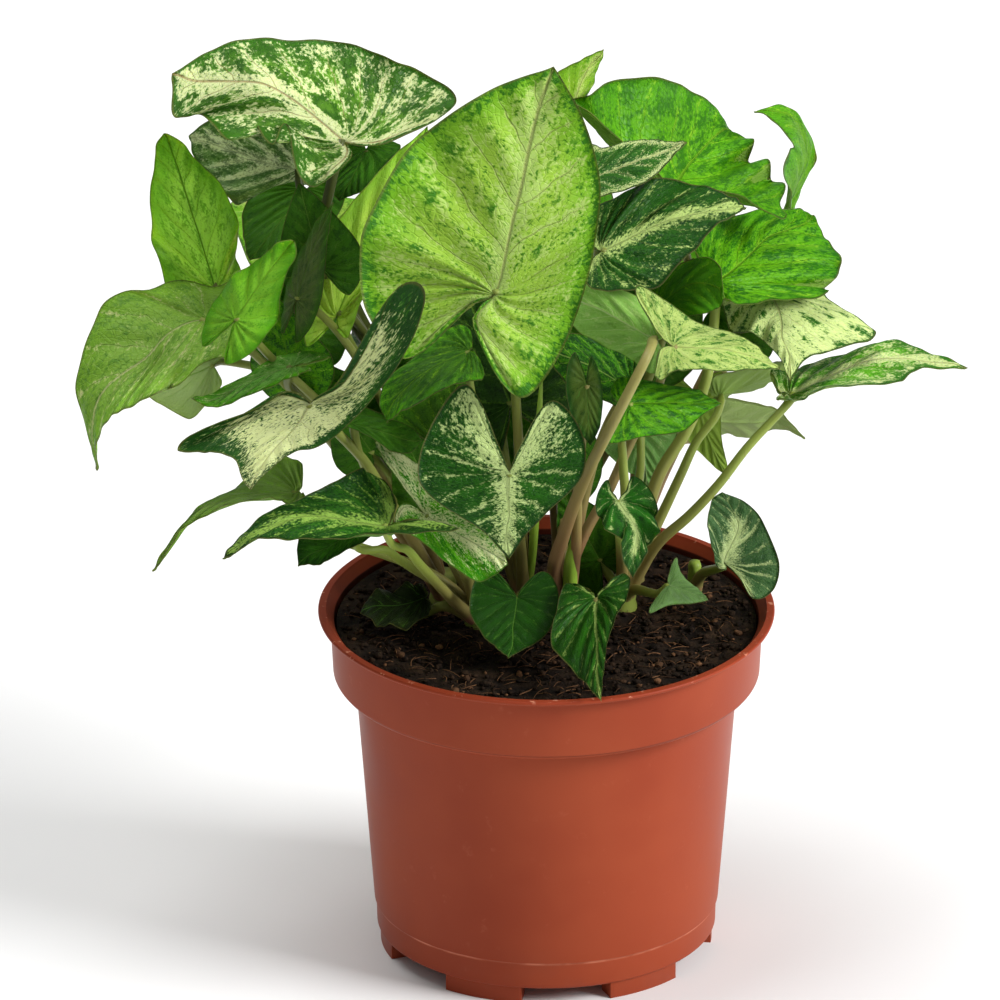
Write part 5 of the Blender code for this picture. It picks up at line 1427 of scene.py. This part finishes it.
potSkin = {
    "body": ((142, 59, 35), (152, 68, 41)),
    "worn": (184, 100, 74),
    # inner: painted shade with soil dust, for the inner wall of the collar above the soil
    "inner": (74, 31, 19),
    "rim": (140, 54, 32),
    "nicks": (220, 150, 122),
    "seam": (222, 140, 110),
    "dust": (140, 66, 46),
    "rough": (0.36, 0.5),
    "scuffScale": (60.0, 60.0, 1500.0),
    "bump": (0.12, 0.2 * mm),
}


def potMaterial():
    skin = potSkin
    material, tree, shader = newMaterial("potSkin")
    place = objectPlace(tree)
    grain = useGroup(tree, grainGroup, {"Place": place, "Grain Scale": 1100.0, "Cloud Scale": 22.0})
    across, ahead, height = spread(place)
    colour = blend(ramp(grain["Cloud"], 0.3, 0.7), *skin["body"])
    colour = blend(ramp(cloud(place, 160.0, 4.0, 0.7), 0.62, 0.8, 0.0, 0.35), colour, skin["worn"])
    # painted shade with soil dust: the inner wall of the collar, in the hollow above the soil, is darkened
    off = gather(across - frontView["axis"].x, ahead - frontView["axis"].y, 0.0)
    fromAxis = made(tree, "ShaderNodeVectorMath", "Value", {0: off}, operation="LENGTH")
    innerShadeAndDust = ramp(fromAxis, 55.95 * mm, 55.75 * mm) * ramp(height, 76.4 * mm, 77.2 * mm)
    colour = blend(innerShadeAndDust * 0.95, colour, skin["inner"])
    rimEdge = ramp(height, 93.6 * mm, 94.25 * mm, 0.0, 0.7)
    colour = blend(rimEdge, colour, skin["rim"])
    colour = blend(ramp(cloud(place, 420.0, 3.0, 0.7), 0.6, 0.7) * rimEdge, colour, skin["nicks"])
    seam = ramp(height, 12.5 * mm, 12.1 * mm) * ramp(height, 11.3 * mm, 11.8 * mm)
    colour = blend(seam * ramp(cloud(place, 90.0), 0.4, 0.6, 0.1, 0.6), colour, skin["seam"])
    dust = ramp(height, 20 * mm, 2 * mm, 0.0, 0.5) * ramp(cloud(place, 70.0, 4.0, 0.6), 0.45, 0.7)
    rings = cloud(stretched(place, skin["scuffScale"]), 1.0, 2.0)
    feed(shader, {
        "Base Color": blend(dust, colour, skin["dust"]),
        "Roughness": ramp(grain["Cloud"], 0.3, 0.7, *skin["rough"], "LINEAR"),
        "Normal": bumped(grain["Grain"] * 0.5 + rings * 0.35, *skin["bump"]),
        "Specular IOR Level": 0.1,
        "Subsurface Weight": 0.06,
        "Subsurface Radius": (1.0, 0.4, 0.25),
        "Subsurface Scale": 1.5 * mm,
    })
    return material


def objectFrom(shape, name):
    mesh = bpy.data.meshes.new(name)
    shape.to_mesh(mesh)
    shape.free()
    return linked(name, mesh)


def potWall():
    form = potForm
    floorTurn = [(form["drain"]["ring"] * 1.6 * mm, form["floorZ"] * mm), (0.0, form["floorZ"] * mm)]
    outline = rounded(form["outside"], form["rounding"][0])[:-1] + floorTurn
    outline += rounded(form["inside"], form["rounding"][1])
    outline = [point for k, point in enumerate(outline) if k == 0 or math.dist(point, outline[k - 1]) > 1e-6]
    points, faces = turnedMesh(outline[:-1], form["steps"])
    last = len(points) - form["steps"]
    for k in range(form["steps"]):
        after = (k + 1) % form["steps"]
        faces.append([last + k, k, after, last + after])
    shape = bmesh.new()
    shape.from_mesh(meshFrom("potWall", points, faces, smooth=False))
    bmesh.ops.recalc_face_normals(shape, faces=shape.faces)
    return objectFrom(shape, "pot_shell")


def potFeet():
    form, shape = potForm["feet"], bmesh.new()
    inner, outer = form["radii"]
    for index in range(form["count"]):
        middle = math.radians(form["first"] + index * 360.0 / form["count"])
        half = math.radians(form["width"] / 2.0)
        turns = [middle - half + 2.0 * half * i / form["steps"] for i in range(form["steps"] + 1)]
        rings = [[shape.verts.new(roundPot(radius * mm, turn, z * mm)) for turn in turns]
                 for radius, z in ((inner, 0.0), (outer, 0.0), (outer, form["top"]), (inner, form["top"]))]
        for low, high in zip(rings, rings[1:] + rings[:1]):
            for i in range(form["steps"]):
                shape.faces.new((low[i], low[i + 1], high[i + 1], high[i]))
        for i in (0, form["steps"]):
            shape.faces.new([ring[i] for ring in rings])
    bmesh.ops.recalc_face_normals(shape, faces=shape.faces)
    return objectFrom(shape, "potFeet")


def potHoles():
    form, feet, shape = potForm["drain"], potForm["feet"], bmesh.new()
    for index in range(feet["count"]):
        turn = math.radians(feet["first"] + (index + 0.5) * 360.0 / feet["count"])
        hole = bmesh.ops.create_cone(shape, cap_ends=True, segments=form["sides"], radius1=form["radius"] * mm,
                                     radius2=form["radius"] * mm, depth=form["depth"] * mm)
        spot = roundPot(form["ring"] * mm, turn, potForm["floorZ"] * mm)
        bmesh.ops.translate(shape, verts=hole["verts"], vec=spot)
    return objectFrom(shape, "potHoles")


def addModifier(thing, kind, **settings):
    modifier = thing.modifiers.new(kind.lower(), kind)
    for key, value in settings.items():
        setattr(modifier, key, value)


def makePot():
    pot, feet, holes = potWall(), potFeet(), potHoles()
    addModifier(pot, "BOOLEAN", operation="UNION", object=feet, solver="EXACT")
    addModifier(pot, "BOOLEAN", operation="DIFFERENCE", object=holes, solver="EXACT")
    addModifier(pot, "BEVEL", width=0.3 * mm, segments=2, limit_method="ANGLE", angle_limit=math.radians(50))
    finished = bpy.data.meshes.new_from_object(pot.evaluated_get(bpy.context.evaluated_depsgraph_get()))
    for old in (pot, feet, holes):
        bpy.data.objects.remove(old, do_unlink=True)
    finished.shade_smooth()
    finished.set_sharp_from_angle(angle=math.radians(32))
    addPiece("pot_shell", finished, potMaterial(), "pot", "pot_plastic")
    return len(finished.polygons)


print("pot:", makePot(), "faces")


soilForm = {
    "top": 90.6 * mm,
    "rough": 1.1 * mm,
    "roughWithin": 50 * mm,
    "seed": 7,
    "steps": 150,
    "rings": 46,
    "gap": 0.45,
    "mound": (9 * mm, 0.5 * mm),
    "crumbs": 2800,
    "crumbSizes": (0.25, 0.3, 0.4, 0.5, 0.7, 1.0),
    "fibres": 560,
}

soilSkin = {
    "peat": ((22, 14, 8), (46, 32, 20)),
    "hollowShade": (10, 6, 4),
    "light": (122, 86, 58),
    "clods": (58, 42, 27),
    "rough": (0.8, 1.0),
    "bump": (0.9, 0.5 * mm),
}


# the inner radius of the pot's wall at a height
def innerRadius(z):
    (low, lowRadius), (high, highRadius) = potForm["collar" if z > potForm["collar"][0][0] * mm else "body"]
    return (lowRadius + (z / mm - low) / (high - low) * (highRadius - lowRadius) - potForm["wall"]) * mm


def soilMaterial():
    skin = soilSkin
    material, tree, shader = newMaterial("soilSkin")
    place = objectPlace(tree)
    grain = useGroup(tree, grainGroup, {"Place": place, "Grain Scale": 1600.0, "Cloud Scale": 140.0})
    light, clod, _ = spread(stored(tree, "soilKind"))
    clumps = made(tree, "ShaderNodeTexVoronoi", "Distance", {"Vector": place, "Scale": 420.0})
    colour = blend(ramp(grain["Cloud"], 0.35, 0.65), *skin["peat"])
    # painted shade: the gaps between crumbs of peat are darkened almost to black
    colour = blend(ramp(clumps, 0.25, 0.7, 0.0, 0.6), colour, skin["hollowShade"])
    colour = blend(ramp(light, 0.5, 1.0, 0.0, 0.85), colour, skin["light"])
    feed(shader, {
        "Base Color": blend(ramp(clod, 0.4, 1.0, 0.0, 0.55), colour, skin["clods"]),
        "Specular IOR Level": 0.15,
        "Roughness": ramp(grain["Grain"], 0.3, 0.7, *skin["rough"], "LINEAR"),
        "Normal": bumped(grain["Grain"] - clumps * 0.8, *skin["bump"]),
    })
    return material


# how far the soil rises above its mean height
def soilLift(x, y):
    if math.hypot(x, y) >= soilForm["roughWithin"]:
        return 0.0
    waves = random.Random(soilForm["seed"])
    beats = [(waves.uniform(60.0, 190.0), waves.uniform(0, math.tau), waves.uniform(0, math.tau))
             for _ in range(5)]
    lift = sum(math.sin(rate * (x * math.cos(way) + y * math.sin(way)) + start) for rate, way, start in beats)
    return soilForm["rough"] * lift / len(beats)


def soilBlock(edge):
    form, pot = soilForm, potForm
    top, inner = form["top"], pot["wall"] + form["gap"]
    profile = [(edge * i / form["rings"], top) for i in range(form["rings"] + 1)] + [(edge, top - 1.2 * mm)]
    low = pot["floorZ"] + pot["wall"] + 0.3
    (collarZ, collarFoot), (stepZ, bodyFoot), bodyTop = pot["collar"][0], pot["body"][0], pot["body"][1][1]
    profile += [(radius * mm, z * mm) for radius, z in (
        (collarFoot - inner, collarZ + 2.5), (collarFoot - inner - 0.95, collarZ + 1.6),
        (bodyTop - inner, collarZ + 1.2), (bodyFoot - inner, stepZ), (pot["skirt"] - inner - 1.15, low),
        (0.0, low))]
    points, faces = turnedMesh(profile, form["steps"])
    spots, kinds = [], []
    for point in points:
        local = point - frontView["axis"]
        x, y, z = local
        kind = 0.0
        if z > top - 0.5 * mm:
            fade = min(1.0, max(0.0, (edge - math.hypot(x, y)) / (3.0 * mm)))
            clod = noise.fractal(Vector((x, y, 0.0)) * 190.0, 0.9, 2.1, 4)
            fine = noise.noise(Vector((x, y, 3.0)) * 700.0)
            local.z += soilLift(x, y) + (clod * 0.9 + fine * 0.35) * mm * fade
            kind = 0.5 + 0.5 * clod
            for place, _ in stems.values():
                gap = math.hypot(x - place[0] * mm, y - place[1] * mm)
                local.z += form["mound"][1] * max(0.0, 1.0 - gap / form["mound"][0])
        spots.append(local + frontView["axis"])
        kinds.append((0.0, kind, 0.0))
    return spots, faces, kinds


def addCrumb(dice, edge, spots, faces, kinds):
    reach = (edge - 1.5 * mm) * math.sqrt(dice.random())
    turn = dice.uniform(0, math.tau)
    x, y = reach * math.cos(turn), reach * math.sin(turn)
    size = dice.choice(soilForm["crumbSizes"]) * mm * dice.uniform(0.7, 1.2)
    centre = onPot(x, y, soilForm["top"] + soilLift(x, y) + size * 0.35 + 0.25 * mm)
    ball = bmesh.new()
    bmesh.ops.create_icosphere(ball, subdivisions=2 if size > 0.7 * mm else 1, radius=1.0)
    base = len(spots)
    shift = Vector((dice.uniform(0, 50), dice.uniform(0, 50), dice.uniform(0, 50)))
    shape = Vector((dice.uniform(0.7, 1.3), dice.uniform(0.6, 1.1), dice.uniform(0.5, 0.9)))
    light = dice.random() ** 4.5
    for vertex in ball.verts:
        lump = 1.0 + 0.35 * noise.noise(vertex.co * 1.6 + shift)
        spots.append(centre + Vector(a * b for a, b in zip(vertex.co, shape)) * size * lump)
        kinds.append((light, dice.random(), 0.0))
    faces.extend([[base + corner.index for corner in face.verts] for face in ball.faces])
    ball.free()


def addFibre(dice, edge, spots, faces, kinds):
    reach = (edge - 6 * mm) * math.sqrt(dice.random())
    turn, way = dice.uniform(0, math.tau), dice.uniform(0, math.tau)
    length = dice.uniform(2.5, 7.0) * mm
    width = dice.uniform(0.09, 0.2) * mm
    bend = dice.uniform(-1.2, 1.2)
    x, y = reach * math.cos(turn), reach * math.sin(turn)
    light = dice.uniform(0.55, 1.0)
    faces += tubeFaces(len(spots), 7, 5)
    for i in range(7):
        share = i / 6
        ahead = way + bend * share
        z = soilForm["top"] + soilLift(x, y) + (0.5 + 0.5 * math.sin(share * 3.1 + bend)) * mm
        for k in range(5):
            angle = math.tau * k / 5
            level = math.cos(angle)
            off = Vector((-math.sin(ahead) * level, math.cos(ahead) * level, math.sin(angle)))
            spots.append(onPot(x, y, z) + off * width * (1.0 - 0.6 * share))
            kinds.append((light, 0.0, 0.0))
        x += math.cos(ahead) * length / 6
        y += math.sin(ahead) * length / 6


def makeSoil():
    edge = innerRadius(soilForm["top"]) - soilForm["gap"] * mm
    spots, faces, kinds = soilBlock(edge)
    dice = random.Random(soilForm["seed"] + 4)
    for _ in range(soilForm["crumbs"]):
        addCrumb(dice, edge, spots, faces, kinds)
    for _ in range(soilForm["fibres"]):
        addFibre(dice, edge, spots, faces, kinds)
    mesh = meshFrom("soil_bed", spots, faces)
    store(mesh, "soilKind", kinds)
    addPiece("soil_bed", mesh, soilMaterial(), "soil", "soil_peat")
    return len(faces)


print("soil:", makeSoil(), "faces")


studio = {
    "floorSize": 8.0,
    "floorTone": 0.82,
    "floorRough": 0.9,
    "worldLight": 0.27,
    "lamps": {"keyLight": ((2.75, -1.05, 1.9), 1.5, 150.0), "topLight": ((-0.7, 0.5, 3.0), 2.0, 72.0)},
    "lampTarget": (0.0, 0.0, 0.13),
    "distance": 10.0,
    "frameWidth": 0.26247,
    "sensor": 36.0,
    "clip": (0.1, 40.0),
    "aim": (-0.01218, 0.0, 0.0943),
    "aimRise": 0.02835,
}


def makeStudio():
    half = studio["floorSize"] / 2.0
    mesh = meshFrom("studioFloor", [(-half, -half, 0), (half, -half, 0), (half, half, 0), (-half, half, 0)],
                    [[0, 1, 2, 3]], smooth=False)
    floor = linked("studioFloor", mesh)
    material, _, shader = newMaterial("studioFloor")
    feed(shader, {"Base Color": (*[studio["floorTone"]] * 3, 1.0), "Roughness": studio["floorRough"]})
    mesh.materials.append(material)

    world = bpy.data.worlds.new("studioWorld")
    world.use_nodes = True
    feed(world.node_tree.nodes["Background"].inputs,
         {"Color": (1.0, 1.0, 1.0, 1.0), "Strength": studio["worldLight"]})
    bpy.context.scene.world = world

    for name, (place, size, power) in studio["lamps"].items():
        light = bpy.data.lights.new(name, "AREA")
        light.size = size
        light.energy = power
        lamp = linked(name, light)
        lamp.location = place
        lamp.rotation_euler = (Vector(studio["lampTarget"]) - lamp.location).to_track_quat("-Z", "Y").to_euler()

    lens = bpy.data.cameras.new("frontCamera")
    lens.sensor_width = studio["sensor"]
    lens.lens = studio["sensor"] * studio["distance"] / studio["frameWidth"]
    lens.clip_start, lens.clip_end = studio["clip"]
    camera = linked("frontCamera", lens)
    tilt = frontView["tilt"]
    target = onPot(*studio["aim"]) + Vector((0.0, math.sin(tilt), math.cos(tilt))) * studio["aimRise"]
    back = Vector((0.0, -math.cos(tilt), math.sin(tilt)))
    camera.location = target + back * studio["distance"]
    camera.rotation_mode = "QUATERNION"
    camera.rotation_quaternion = (-back).to_track_quat("-Z", "Y")
    bpy.context.scene.camera = camera
    bpy.context.scene.view_settings.view_transform = "Standard"


makeStudio()
print("studio ready")

bpy.context.view_layer.update()
